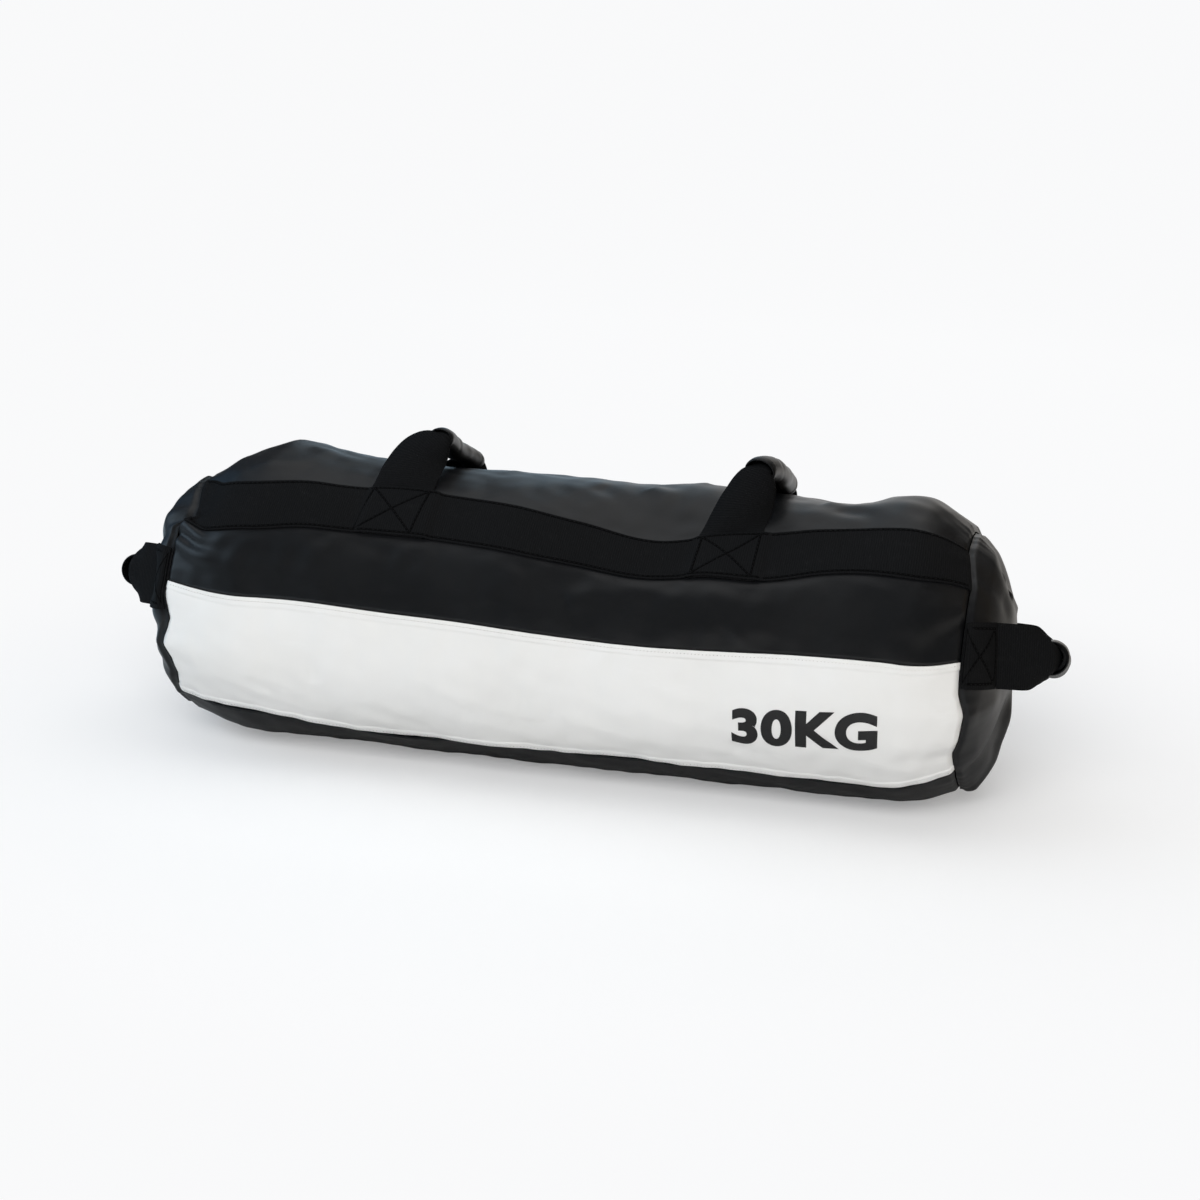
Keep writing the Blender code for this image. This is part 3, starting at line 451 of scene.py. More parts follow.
def skin_base(along, angle):
    """The skin itself, at arrays of places."""
    turned = angle + seam_turn(along, angle) + seam_slide(along, angle)
    rise = shoulder_rise(along)
    from_seam = HALF_LENGTH - np.abs(along)
    radius = RIM_RADIUS + (BODY_RADIUS - RIM_RADIUS) * rise - sag_depth(along, turned)
    radius += folds(along, angle) + top_details(along, turned)
    free = (1 - strap_cover(angle)) * smooth_share(from_seam / FINE_START)
    radius += waves(along, angle, BROAD_WAVES, BROAD_HEIGHT) * smooth_share(from_seam / BROAD_START)
    radius += waves(along, angle, FINE_WAVES, FINE_HEIGHT) * free
    radius += puckers(turned, from_seam) - groove(from_seam)
    reach = swell(from_seam, SHIFT_REACH)
    shift = np.where(along < 0, seam_shift("left", turned), seam_shift("right", turned)) * reach
    height = RIM_HEIGHT + RIM_DROP * rise + radius * np.sin(turned)
    return np.stack((CENTRE_X + along + shift, -radius * np.cos(turned), np.maximum(height, 0)), -1)


def skin(along, angle, lift=0.0):
    """Points on the skin, lifted off it square to it."""
    along, angle, lift = np.broadcast_arrays(np.asarray(along, float), angle, lift)
    base = skin_base(along, angle)
    along_way = skin_base(along + FEEL, angle) - skin_base(along - FEEL, angle)
    turn = FEEL / BODY_RADIUS
    round_way = skin_base(along, angle + turn) - skin_base(along, angle - turn)
    normal = np.cross(along_way, round_way)
    normal /= np.linalg.norm(normal, axis=-1, keepdims=True)
    return base + normal * lift[..., None]


print("top of the bag's middle (m):", round(float(skin(0.0, radians(90))[2]), 4))

# %% [markdown]
# ## Node tools
# Materials are trees of nodes. A small helper adds a node, sets its values and wires its
# inputs, so that each material below reads from top to bottom like a recipe.


# %% Wiring helpers
def feed(tree, socket, value):
    """Wire another node's output into a socket, or set the socket to a constant."""
    if isinstance(value, bpy.types.NodeSocket):
        tree.links.new(value, socket)
    else:
        socket.default_value = value


def add(tree, kind, settings=None, **inputs):
    """A new node in a tree. An input goes by its label, or by i and its number."""
    made = tree.nodes.new(kind)
    for name, value in (settings or {}).items():
        setattr(made, name, value)
    for name, value in inputs.items():
        key = int(name[1:]) if name[1:].isdigit() else name.replace("_", " ")
        feed(tree, made.inputs[key], value)
    return made


def maths(tree, operation, first, second=0.0, third=0.0, clamp=False):
    """The result of a sum in a node tree."""
    settings = {"operation": operation, "use_clamp": clamp}
    return add(tree, "ShaderNodeMath", settings, i0=first, i1=second, i2=third).outputs[0]


def blend_colour(tree, share, first, second):
    """A colour between two, by a share."""
    return add(tree, "ShaderNodeMix", {"data_type": "RGBA"}, i0=share, i6=first, i7=second).outputs[2]


def ramp(tree, value, low, high):
    """A value stretched so that low becomes 0 and high becomes 1."""
    made = add(tree, "ShaderNodeMapRange", {"interpolation_type": "SMOOTHSTEP"}, i0=value, i1=low, i2=high)
    return made.outputs[0]


def object_place(tree):
    """Where a point lies in its object."""
    return tree.nodes.new("ShaderNodeTexCoord").outputs["Object"]


def colour(red, green, blue):
    """An opaque colour."""
    return (red, green, blue, 1.0)


def new_group(name, numbers):
    """An empty node group with number inputs."""
    group = bpy.data.node_groups.new(name, "ShaderNodeTree")
    for label, value in numbers:
        socket = group.interface.new_socket(name=label, in_out="INPUT", socket_type="NodeSocketFloat")
        socket.default_value = value
    return group


def group_out(group, **results):
    """Wire a group's results to outputs of the same names."""
    for label in results:
        group.interface.new_socket(name=label, in_out="OUTPUT", socket_type="NodeSocketFloat")
    end = group.nodes.new("NodeGroupOutput")
    for label, result in results.items():
        group.links.new(result, end.inputs[label])


def use_group(tree, group, **inputs):
    """A group placed in a material, with its own values."""
    made = tree.nodes.new("ShaderNodeGroup")
    made.node_tree = group
    for name, value in inputs.items():
        feed(tree, made.inputs[name.replace("_", " ")], value)
    return made


def new_material(name, roughness, **values):
    """A material with one Principled shader, and its tree."""
    made = bpy.data.materials.new(name)
    made.use_nodes = True
    tree = made.node_tree
    shader = tree.nodes["Principled BSDF"]
    shader.inputs["Roughness"].default_value = roughness
    for label, value in values.items():
        shader.inputs[label.replace("_", " ")].default_value = value
    return made, tree, shader


def tint_by(tree, shader, share, dark, pale):
    """A base colour between two, by a share."""
    tree.links.new(blend_colour(tree, share, colour(*dark), colour(*pale)), shader.inputs["Base Color"])


def roughen_by(tree, shader, share, roughness, rough_span):
    """A roughness that grows with a share."""
    tree.links.new(maths(tree, "MULTIPLY_ADD", share, rough_span, roughness), shader.inputs["Roughness"])


def bump(tree, shader, height, distance):
    """Fine relief on a shader, from a height between 0 and 1."""
    made = add(tree, "ShaderNodeBump", Height=height, Distance=distance, Strength=1.0)
    tree.links.new(made.outputs[0], shader.inputs["Normal"])


# %% [markdown]
# ## Coated cloth
# The shell is tarpaulin: a woven polyester with a skin of soft vinyl. The weave shows
# through the vinyl as a very faint grid, and the skin has a fine grain. Handling leaves
# paler scuffs. Weave and grain are one group and wear is another, and all vinyls use both.

# %% Vinyl groups
SCUFF_STRETCH = (0.35, 1.0, 1.0)
PATCH_RANGE = (0.35, 0.68)
SCUFF_RANGE = (0.56, 0.74)
PATCH_SHARE = 0.55
SCUFF_SHARE = 0.45


def build_vinyl_relief():
    """Weave and grain, as one height."""
    group = new_group("vinyl relief", (("Grain Size", 900.0), ("Weave Size", 620.0), ("Weave Share", 0.3)))
    start = group.nodes.new("NodeGroupInput")
    place = object_place(group)
    grain = add(group, "ShaderNodeTexVoronoi", {"feature": "SMOOTH_F1"}, Vector=place, Scale=start.outputs[0])
    soft = add(group, "ShaderNodeTexNoise", Vector=place, Scale=start.outputs[0], Detail=3.0)
    across = add(group, "ShaderNodeTexWave", {"bands_direction": "X"}, Vector=place, Scale=start.outputs[1])
    down = add(group, "ShaderNodeTexWave", {"bands_direction": "Z"}, Vector=place, Scale=start.outputs[1])
    weave = maths(group, "MULTIPLY", across.outputs[1], down.outputs[1])
    grainy = maths(group, "MULTIPLY", grain.outputs[0], soft.outputs[0])
    group_out(group, Height=maths(group, "MULTIPLY_ADD", weave, start.outputs[2], grainy))
    return group


def build_wear():
    """Broad patches and long scuffs, as two masks."""
    group = new_group("wear", (("Patch Size", 9.0), ("Scuff Size", 60.0)))
    start = group.nodes.new("NodeGroupInput")
    place = object_place(group)
    patches = add(
        group, "ShaderNodeTexNoise", Vector=place, Scale=start.outputs[0], Detail=4.0, Roughness=0.55)
    stretched = add(group, "ShaderNodeMapping", Vector=place, Scale=SCUFF_STRETCH).outputs[0]
    scuffs = add(
        group, "ShaderNodeTexNoise", Vector=stretched, Scale=start.outputs[1], Detail=6.0, Roughness=0.7)
    group_out(
        group, Patches=ramp(group, patches.outputs[0], *PATCH_RANGE),
        Scuffs=ramp(group, scuffs.outputs[0], *SCUFF_RANGE))
    return group


VINYL_RELIEF = build_vinyl_relief()
WEAR = build_wear()


# %% Vinyl materials
def vinyl_material(name, dark, pale, roughness, rough_span, distance, weave, gloss=0.5):
    """Vinyl whose colour and gloss drift between two limits over broad patches."""
    made, tree, shader = new_material(name, roughness, Specular_IOR_Level=gloss)
    wear = use_group(tree, WEAR)
    scuffed = maths(tree, "MULTIPLY", wear.outputs["Scuffs"], SCUFF_SHARE)
    share = maths(tree, "MULTIPLY_ADD", wear.outputs["Patches"], PATCH_SHARE, scuffed)
    tint_by(tree, shader, share, dark, pale)
    roughen_by(tree, shader, share, roughness, rough_span)
    relief = use_group(tree, VINYL_RELIEF, Weave_Share=weave)
    bump(tree, shader, relief.outputs["Height"], distance)
    return made


BLACK_VINYL = vinyl_material(
    "black_vinyl", (0.0060, 0.0064, 0.0072), (0.0100, 0.0103, 0.0110),
    roughness=0.38, rough_span=0.10, distance=0.00006, weave=0.35, gloss=0.30)
WHITE_VINYL = vinyl_material(
    "white_vinyl", (0.80, 0.795, 0.775), (0.835, 0.832, 0.820),
    roughness=0.42, rough_span=0.10, distance=0.00004, weave=0.35)
GRIP_VINYL = vinyl_material(
    "grip_vinyl", (0.0060, 0.0063, 0.0068), (0.0100, 0.0102, 0.0108),
    roughness=0.36, rough_span=0.12, distance=0.00006, weave=0.10, gloss=0.21)


# %% [markdown]
# ## Webbing
# Polypropylene webbing is woven flat, with ribs straight across it. The pattern has to
# follow each strap through its bends, so it is drawn on the strap's own UV map, which is
# laid out in metres: U across the width and V along the length.

# %% Webbing material
RIB_PITCH = 0.0018
YARN_PITCH = 0.0011
RIB_SHARE = 0.6
YARN_SHARE = 0.4
FUZZ_SHARE = 0.35
WOVEN_SHARE = 0.6
WORN_SHARE = 0.4


def half_wave(tree, phase):
    """A wave between 0 and 1."""
    return maths(tree, "MULTIPLY_ADD", maths(tree, "SINE", phase), 0.5, 0.5)


def webbing_material(name, dark, pale, distance):
    """Ribs across the strip, with yarns slanting over them and a fuzz of loose fibres."""
    made, tree, shader = new_material(name, 0.80, Specular_IOR_Level=0.08)
    flat = add(tree, "ShaderNodeUVMap", {"uv_map": "metres"}).outputs[0]
    parts = add(tree, "ShaderNodeSeparateXYZ", Vector=flat)
    rib_phase = maths(tree, "MULTIPLY", parts.outputs[1], 2 * pi / RIB_PITCH)
    yarn_phase = maths(tree, "MULTIPLY", parts.outputs[0], 2 * pi / YARN_PITCH)
    rib = half_wave(tree, rib_phase)
    yarn = half_wave(tree, maths(tree, "MULTIPLY_ADD", rib_phase, 0.5, yarn_phase))
    weave = maths(tree, "MULTIPLY_ADD", rib, RIB_SHARE, maths(tree, "MULTIPLY", yarn, YARN_SHARE))
    fuzz = add(tree, "ShaderNodeTexNoise", Vector=object_place(tree), Scale=2600.0, Detail=2.0)
    wear = use_group(tree, WEAR, Patch_Size=14.0, Scuff_Size=120.0)
    worn = maths(tree, "MULTIPLY", wear.outputs["Scuffs"], WORN_SHARE)
    tint_by(tree, shader, maths(tree, "MULTIPLY_ADD", weave, WOVEN_SHARE, worn), dark, pale)
    bump(tree, shader, maths(tree, "MULTIPLY_ADD", fuzz.outputs[0], FUZZ_SHARE, weave), distance)
    return made


BLACK_WEBBING = webbing_material(
    "black_webbing", (0.0042, 0.0044, 0.0048), (0.0110, 0.0112, 0.0118), distance=0.00030)
ZIP_CLOTH = webbing_material(
    "zip_tape", (0.0070, 0.0070, 0.0074), (0.0150, 0.0150, 0.0156), distance=0.00012)
CLOSURE_CLOTH = webbing_material(
    "closure_tape", (0.012, 0.012, 0.013), (0.030, 0.030, 0.032), distance=0.00035)
FILLER_CLOTH = webbing_material(
    "filler_cloth", (0.085, 0.085, 0.09), (0.13, 0.13, 0.135), distance=0.00015)


# %% [markdown]
# ## Thread, print, plastic and metal
# These pieces are small in the picture, so one fine noise gives each of them its relief and
# its drift of colour. The print is a satin ink, and the zip's runner is die-cast and brushed
# by use. None of these is a single flat colour.

# %% Small materials
SPECKLE_RANGE = (0.3, 0.7)
SPECKLE_SCUFF_SHARE = 0.4
SPECKLE_ROUGH_SPAN = 0.12


def speckled_material(name, dark, pale, roughness, scale, distance, **values):
    """A material whose colour and relief come from one fine noise."""
    made, tree, shader = new_material(name, roughness, **values)
    place = object_place(tree)
    noise = add(tree, "ShaderNodeTexNoise", Vector=place, Scale=scale, Detail=5.0, Roughness=0.6).outputs[0]
    wear = use_group(tree, WEAR, Patch_Size=30.0, Scuff_Size=260.0)
    speckle = ramp(tree, noise, *SPECKLE_RANGE)
    share = maths(tree, "MULTIPLY_ADD", wear.outputs["Scuffs"], SPECKLE_SCUFF_SHARE, speckle, clamp=True)
    tint_by(tree, shader, share, dark, pale)
    roughen_by(tree, shader, share, roughness, SPECKLE_ROUGH_SPAN)
    bump(tree, shader, noise, distance)
    return made


BLACK_THREAD = speckled_material(
    "black_thread", (0.0015, 0.0015, 0.0016), (0.0040, 0.0040, 0.0042),
    roughness=0.70, scale=1800, distance=0.00005, Specular_IOR_Level=0.2)
# painted shade: a near-black matte ribbon stands for the shade in each stitch furrow on the webbing
FURROW_SHADE = speckled_material(
    "painted_furrow_shade", (0.0015, 0.0015, 0.0016), (0.0035, 0.0035, 0.0037),
    roughness=0.95, scale=1500, distance=0.00002, Specular_IOR_Level=0.05)
WHITE_THREAD = speckled_material(
    "white_thread", (0.70, 0.69, 0.66), (0.80, 0.79, 0.77), roughness=0.60, scale=1800, distance=0.00005)
# painted shade: grey dots stand for the shade in the holes between the panel's white stitches
NEEDLE_HOLE_SHADE = speckled_material(
    "painted_hole_shade", (0.10, 0.098, 0.095), (0.20, 0.195, 0.19), roughness=0.85, scale=1500, distance=0.00003)
PRINT_INK = speckled_material(
    "print_ink", (0.0080, 0.0080, 0.0085), (0.0130, 0.0130, 0.0135),
    roughness=0.40, scale=1400, distance=0.00002)
CORE_PLASTIC = speckled_material(
    "core_plastic", (0.010, 0.010, 0.011), (0.018, 0.018, 0.019), roughness=0.50, scale=500, distance=0.00003)
ZIP_NYLON = speckled_material(
    "zip_coil", (0.010, 0.010, 0.011), (0.022, 0.022, 0.024), roughness=0.36, scale=900, distance=0.00003)
ZIP_METAL = speckled_material(
    "zip_metal", (0.26, 0.26, 0.27), (0.42, 0.42, 0.43),
    roughness=0.28, scale=700, distance=0.00002, Metallic=1.0)
SAND = speckled_material(
    "sand", (0.40, 0.31, 0.20), (0.62, 0.52, 0.37), roughness=0.92, scale=1700, distance=0.0004)


# %% [markdown]
# ## Making pieces
# A sheet starts as Blender's own grid. Each corner is then put where the skin function says
# it belongs, and a Solidify modifier gives the sheet its real thickness. The grid's rows run
# along the bag, so the two directions of its UV map are real lengths.

# %% Sheet helpers
EDGE_ANGLE = radians(50)
WELD_GAP = 0.00002
FINE_STEP = 0.0014
FINE_REACH = 0.030
SEAM_EDGE = 0.0075
SEAM_STEP = 0.0006


def mesh_object(name, mesh, finish):
    """A smooth object from a bmesh, with its material."""
    data = bpy.data.meshes.new(name)
    mesh.to_mesh(data)
    mesh.free()
    data.shade_smooth()
    data.materials.append(finish)
    return place_object(name, data)


def finish_piece(name, mesh, finish, body="bag"):
    """A piece from a bmesh, with its material, on its body if one is given."""
    made = mesh_object(name, mesh, finish)
    if body:
        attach(made, body)
    print(name, "faces:", len(made.data.polygons))
    return made


def modifier(piece, kind, **values):
    """A modifier at the end of a piece's stack."""
    made = piece.modifiers.new(kind.lower(), kind)
    for name, value in values.items():
        setattr(made, name, value)


def thicken(piece, wall, offset, even=True):
    """Give a sheet its real thickness."""
    modifier(piece, "SOLIDIFY", thickness=wall, offset=offset, use_even_offset=even)


def round_edges(piece, width, angle=EDGE_ANGLE, segments=2):
    """Round the edges that are sharper than an angle."""
    modifier(piece, "BEVEL", width=width, segments=segments, limit_method="ANGLE", angle_limit=angle)


def sew_down(node):
    """A sheet that is sewn flat to others stands for a node of the CAD."""
    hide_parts(node)


def face_away(mesh, inside):
    """Turn an open sheet so that it looks away from a point inside the bag."""
    mesh.normal_update()
    looks = sum((face.calc_center_median() - inside).dot(face.normal) for face in mesh.faces)
    if looks < 0:
        bmesh.ops.reverse_faces(mesh, faces=mesh.faces)


def sheet_mesh(places, inside, flat=None):
    """A grid whose corner in a row and a column goes to its place in an array."""
    rows, columns = places.shape[:2]
    mesh = bmesh.new()
    bmesh.ops.create_grid(mesh, x_segments=rows - 1, y_segments=columns - 1, size=1)
    spots = {}
    for corner in mesh.verts:
        row = round((corner.co.x + 1) / 2 * (rows - 1))
        column = round((corner.co.y + 1) / 2 * (columns - 1))
        spots[corner] = (row, column)
        corner.co = places[row, column]
    if flat is None:
        steps_long = np.linalg.norm(np.diff(places, axis=0), axis=-1).mean(1)
        steps_wide = np.linalg.norm(np.diff(places, axis=1), axis=-1).mean(0)
        flat = (np.concatenate(([0], steps_wide.cumsum())), np.concatenate(([0], steps_long.cumsum())))
    layer = mesh.loops.layers.uv.new("metres")
    for face in mesh.faces:
        for loop in face.loops:
            row, column = spots[loop.vert]
            loop[layer].uv = (flat[0][column], flat[1][row])
    face_away(mesh, inside)
    return mesh


def stations(low, high, step):
    """Even values from low to high, in steps of at most step."""
    return np.linspace(low, high, max(2, int((high - low) / step) + 2))


def long_stations(step):
    """Stations from end seam to end seam, finer beside the seams."""
    seam = HALF_LENGTH - SEAM_GAP
    edge = seam - SEAM_EDGE
    near_seam = stations(seam - FINE_REACH, edge, FINE_STEP)[:-1]
    ends = np.concatenate((near_seam, stations(edge, seam, SEAM_STEP)))
    middle = stations(-seam + FINE_REACH, seam - FINE_REACH, step)
    return np.concatenate((-ends[::-1][:-1], middle, ends[1:]))


BAG_MIDDLE = Vector((CENTRE_X, 0, BODY_HEIGHT))


def skin_sheet(name, along, angles, finish, lift=0.0, wall=SHELL_WALL, offset=-1):
    """A piece of cloth that lies on the bag. Its lift is a length, or a function of the place."""
    grid_along, grid_angle = np.meshgrid(along, angles, indexing="ij")
    lifts = lift(grid_along, grid_angle) if callable(lift) else lift
    mesh = sheet_mesh(skin(grid_along, grid_angle, lifts), BAG_MIDDLE)
    made = finish_piece(name, mesh, finish)
    thicken(made, wall, offset)
    return made


# %% [markdown]
# ## The shell
# Three cloths make the body: the black top from the front panel round to the zip, the black
# base, and the white front panel. The white panel's long edges are turned under and sewn
# down, so a band along each edge is three layers thick and ends in a faint step.

# %% Body cloths
SKIN_STEP = 0.0030
ROUND_STEP = radians(1.25)
EDGE_BAND = radians(4.5)
EDGE_STEP = radians(0.35)
SEAM_ANGLE = SEAM_GAP / BODY_RADIUS
ZIP_TAPE_WIDTH = 0.0150
COIL_PARTING = 0.0016
ZIP_HALF_ARC = (ZIP_TAPE_WIDTH + COIL_PARTING / 2) / BODY_RADIUS
PANEL_LIFT = 0.0002
HEM_WIDTH = 0.0070
HEM_LIFT = 0.0007
HEM_STEP = 0.0012
HEM_EDGE = 0.0009
HEM_EDGE_DROP = 0.0005


def hem_lift(along, angle):
    """The white panel is thicker where its edge is turned under."""
    inwards = np.minimum(PANEL_TOP - angle, angle - PANEL_LOW) * BODY_RADIUS
    hem = 1 - smooth_share((inwards - HEM_WIDTH) / HEM_STEP)
    return PANEL_LIFT + HEM_LIFT * hem - HEM_EDGE_DROP * bell(inwards, HEM_EDGE)


body_along = long_stations(SKIN_STEP)
front_low, front_top = PANEL_LOW + SEAM_ANGLE, PANEL_TOP - SEAM_ANGLE
front_inner = stations(front_low + EDGE_BAND, front_top - EDGE_BAND, ROUND_STEP)
front_edge = stations(0, EDGE_BAND, EDGE_STEP)[:-1]
front_angles = np.concatenate((front_low + front_edge, front_inner, (front_top - front_edge)[::-1]))
top_angles = stations(PANEL_TOP + SEAM_ANGLE, ZIP_ANGLE - ZIP_HALF_ARC - SEAM_ANGLE, ROUND_STEP)
base_angles = stations(ZIP_ANGLE + ZIP_HALF_ARC + SEAM_ANGLE, PANEL_LOW + 2 * pi - SEAM_ANGLE, ROUND_STEP)

for part, angles, finish, lift in (
        ("top", top_angles, BLACK_VINYL, 0.0),
        ("base", base_angles, BLACK_VINYL, 0.0),
        ("front", front_angles, WHITE_VINYL, hem_lift)):
    cloth = skin_sheet(f"{part}_cloth", body_along, angles, finish, lift)
    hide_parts(f"{part}_panel")

# %% [markdown]
# ## The ends
# Each end is a disc of the same cloth, gathered into the seam and pushed out by the sand.
# It is spun up as rings from the middle to the rim. At the rim it takes the seam's wander
# and puckers from the body, so the two meet all the way round.

# %% End cloths
CAP_FOLDS = {
    # start share of the radius, start angle, end share, end angle, width, height
    "right": (
        (0.28, -50, 0.99, -68, 0.0060, 0.0062),
        (0.70, -56, 1.00, -66, 0.0150, 0.0050),
        (0.35, -36, 1.00, -44, 0.0090, -0.0034),
        (0.45, -72, 1.00, -88, 0.0090, -0.0028),
        (0.55, 60, 1.00, 62, 0.0120, -0.0026),
        (0.50, 92, 1.00, 108, 0.0240, -0.0066),
        (0.40, 112, 0.56, 84, 0.0040, 0.0030),
        (0.46, 116, 0.62, 92, 0.0035, -0.0018),
        (0.50, 118, 0.70, 84, 0.0050, 0.0022),
        (0.60, -8, 1.00, -6, 0.0090, 0.0022),
        (0.55, 150, 1.00, 152, 0.0110, 0.0028),
        (0.55, 205, 1.00, 200, 0.0100, 0.0026),
        (0.60, 240, 1.00, 246, 0.0090, -0.0026),
    ),
    "left": (
        (0.60, 55, 1.00, 53, 0.0110, 0.0068),
        (0.65, 67, 1.00, 65, 0.0100, 0.0020),
        (0.55, 38, 1.00, 36, 0.0080, 0.0040),
        (0.60, 7, 1.00, 3, 0.0090, 0.0052),
        (0.65, -4, 1.00, -6, 0.0060, -0.0012),
        (0.60, -16, 1.00, -17, 0.0070, 0.0030),
        (0.60, -34, 1.00, -32, 0.0080, 0.0026),
        (0.55, 96, 1.00, 92, 0.0110, 0.0030),
        (0.55, 128, 1.00, 133, 0.0100, -0.0028),
        (0.55, 172, 1.00, 168, 0.0100, 0.0030),
        (0.55, 220, 1.00, 224, 0.0100, 0.0028),
    ),
}
CAP_RINGS = 84
CAP_SPOKES = 320
CAP_SHIFT_REACH = 0.015
CAP_WAVE_HEIGHT = 0.00035
CAP_WAVES_TO = 0.7
CAP_WAVES_RAMP = 0.3
CAP_FOLD_RISE = 0.5
CAP_FOLD_LEAD = 0.4
CAP_FOLD_FALL = 0.2
CAP_EDGE_FROM = 0.90
CAP_EDGE_RAMP = 0.10
CAP_EDGE_LOSS = 0.75
FACET_CAP_REACH = 0.06


def cap_spot(share, degrees):
    """A place on an end seen flat: a share of the radius, at an angle."""
    return np.array((-share * cos(radians(degrees)), share * sin(radians(degrees)))) * RIM_RADIUS


def cap_relief(side, share, angle):
    """How far folds and puckers stand out of an end, square to it."""
    y, z = -share * np.cos(angle) * RIM_RADIUS, share * np.sin(angle) * RIM_RADIUS
    total = np.zeros_like(share)
    for near, near_deg, far, far_deg, wide, height in CAP_FOLDS[side]:
        start = cap_spot(near, near_deg)
        on, off, _ = beside_line(y - start[0], z - start[1], cap_spot(far, far_deg) - start)
        fall = 1 - smooth_share((on - 1) / CAP_FOLD_FALL)
        total += height * smooth_share(on / CAP_FOLD_RISE + CAP_FOLD_LEAD) * fall * bell(off, wide)
    total *= 1 - smooth_share((share - CAP_EDGE_FROM) / CAP_EDGE_RAMP) * CAP_EDGE_LOSS
    inner = 1 - smooth_share((share - CAP_WAVES_TO) / CAP_WAVES_RAMP)
    total += waves(y, z / BODY_RADIUS, BROAD_WAVES, CAP_WAVE_HEIGHT) * inner
    from_rim = (1 - share) * RIM_RADIUS
    return total + puckers(angle, from_rim) - groove(from_rim)


def cap_base(side, share, angle):
    """Points on an end, by the share of the radius and the angle round it."""
    from_rim = (1 - share) * RIM_RADIUS
    out = DOME_DEPTHS[side] * np.maximum(1 - share ** 2, 0) ** DOME_POWER_SHARES[side]
    seam = HALF_LENGTH + SEAM_GAP
    x = CENTRE_X + SIDES[side] * (seam + out) + seam_shift(side, angle) * swell(from_rim, CAP_SHIFT_REACH)
    relief = cap_relief(side, share, angle)
    steep = np.clip(share, 0, 1) ** 3
    x = x + SIDES[side] * relief * (1 - steep)
    sink = FACET_SINK * swell(turn_between(angle, FACET_ANGLE), FACET_SPAN) if side == "left" else 0.0
    radius = share * RIM_RADIUS + relief * steep - sink * swell(from_rim, FACET_CAP_REACH)
    height = RIM_HEIGHT + radius * np.sin(angle)
    return np.stack((x, -radius * np.cos(angle), np.maximum(height, 0)), -1)


def make_end_cloth(side):
    """A disc of cloth: a grid of rings and spokes, welded where it closes."""
    rings = np.sin(np.linspace(0, pi / 2, CAP_RINGS))
    spokes = np.linspace(-pi / 2, 3 * pi / 2, CAP_SPOKES + 1)
    share, angle = np.meshgrid(rings, spokes, indexing="ij")
    mesh = sheet_mesh(cap_base(side, share, angle), Vector((CENTRE_X, 0, RIM_HEIGHT)))
    bmesh.ops.remove_doubles(mesh, verts=mesh.verts, dist=WELD_GAP)
    made = finish_piece(f"{side}_end_cloth", mesh, BLACK_VINYL)
    thicken(made, SHELL_WALL, -1)
    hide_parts(f"end_cap_{side}")


for side in SIDES:
    make_end_cloth(side)

# %% [markdown]
# ## The long straps
# Two straps of webbing run from end seam to end seam. Each is a grid on the skin, lifted by
# a hair, and it humps where a handle's sewn end lies under it. A narrow Bevel rounds the
# woven edges.

# %% Straps
HANDLE_PLACES = {"left": -0.1318, "right": 0.1318}
HUMP_RAMP = 0.006
STRAP_STEP = 0.0032
STRAP_COLUMNS = 15
STRAP_EDGE_BEVEL = 0.0005


def strap_lift(along, angle=None):
    """The underside of a strap over the skin, at any angle."""
    nearest = np.minimum(np.abs(along - HANDLE_PLACES["left"]), np.abs(along - HANDLE_PLACES["right"]))
    hump = 1 - smooth_share((nearest - WEBBING_WIDTH / 2) / HUMP_RAMP)
    return SEAM_GAP + (WEBBING_WALL + SEAM_GAP) * hump


def strap_angles(place, columns):
    """Even angles across a strap."""
    return np.linspace(*sorted((STRAP_LOW[place], STRAP_TOP[place])), columns)


for place in PLACES:
    strap = skin_sheet(
        f"{place}_strap_webbing", long_stations(STRAP_STEP), strap_angles(place, STRAP_COLUMNS),
        BLACK_WEBBING, strap_lift, WEBBING_WALL, 1)
    round_edges(strap, STRAP_EDGE_BEVEL)
    sew_down(f"{place}_strap")


# %% [markdown]
# ## Handle paths
# The grips' middle lines are the curves of the CAD: a few guide points, given by how far
# round the bag they are, how high over it and how far aside, with a smooth curve through
# them. Here the curve is drawn with more points.

# %% Curves
SPAN_STEPS = 10
TOP_GRIP_RADIUS = 0.0125
TOP_SLEEVE_RADII = {"left": 0.0106, "right": 0.0125}
TOP_FLATNESS = {"left": 0.80, "right": 0.86}
TOP_GRIP_PLAY = 0.0008
TOP_MOUTH_RISE = {"left": 0.0206, "right": 0.0208}
TOP_GRIP_ASIDE = 0.0185
TOP_ROUND_SHARES = (0.125, 0.223, 0.379, 0.5, 0.62, 0.782, 0.9)
TOP_SEAT_SHARES = (0.65, 1.0, 1.0, 1.0, 1.0, 1.0, 0.55)
TOP_RISE_SHARES = (0.6, 1.0, 0.5, 0.15, 0.05, 0.0, 0.0)
TOP_ASIDE_SHARES = {
    "left": (0.6, 0.98, 0.9, 0.85, 0.92, 1.04, 0.6),
    "right": (0.45, 0.8, 1.0, 1.08, 1.06, 1.02, 0.6),
}


def curve_through(points, steps):
    """Points of a smooth curve through all the given points."""
    padded = [2 * points[0] - points[1], *points, 2 * points[-1] - points[-2]]
    path = []
    for before, start, end, after in zip(padded, padded[1:], padded[2:], padded[3:]):
        for step in range(steps):
            share = step / steps
            bend = 2 * start + (end - before) * share
            bend += (2 * before - 5 * start + 4 * end - after) * share ** 2
            bend += (3 * start - before - 3 * end + after) * share ** 3
            path.append(bend / 2)
    return path + [points[-1]]


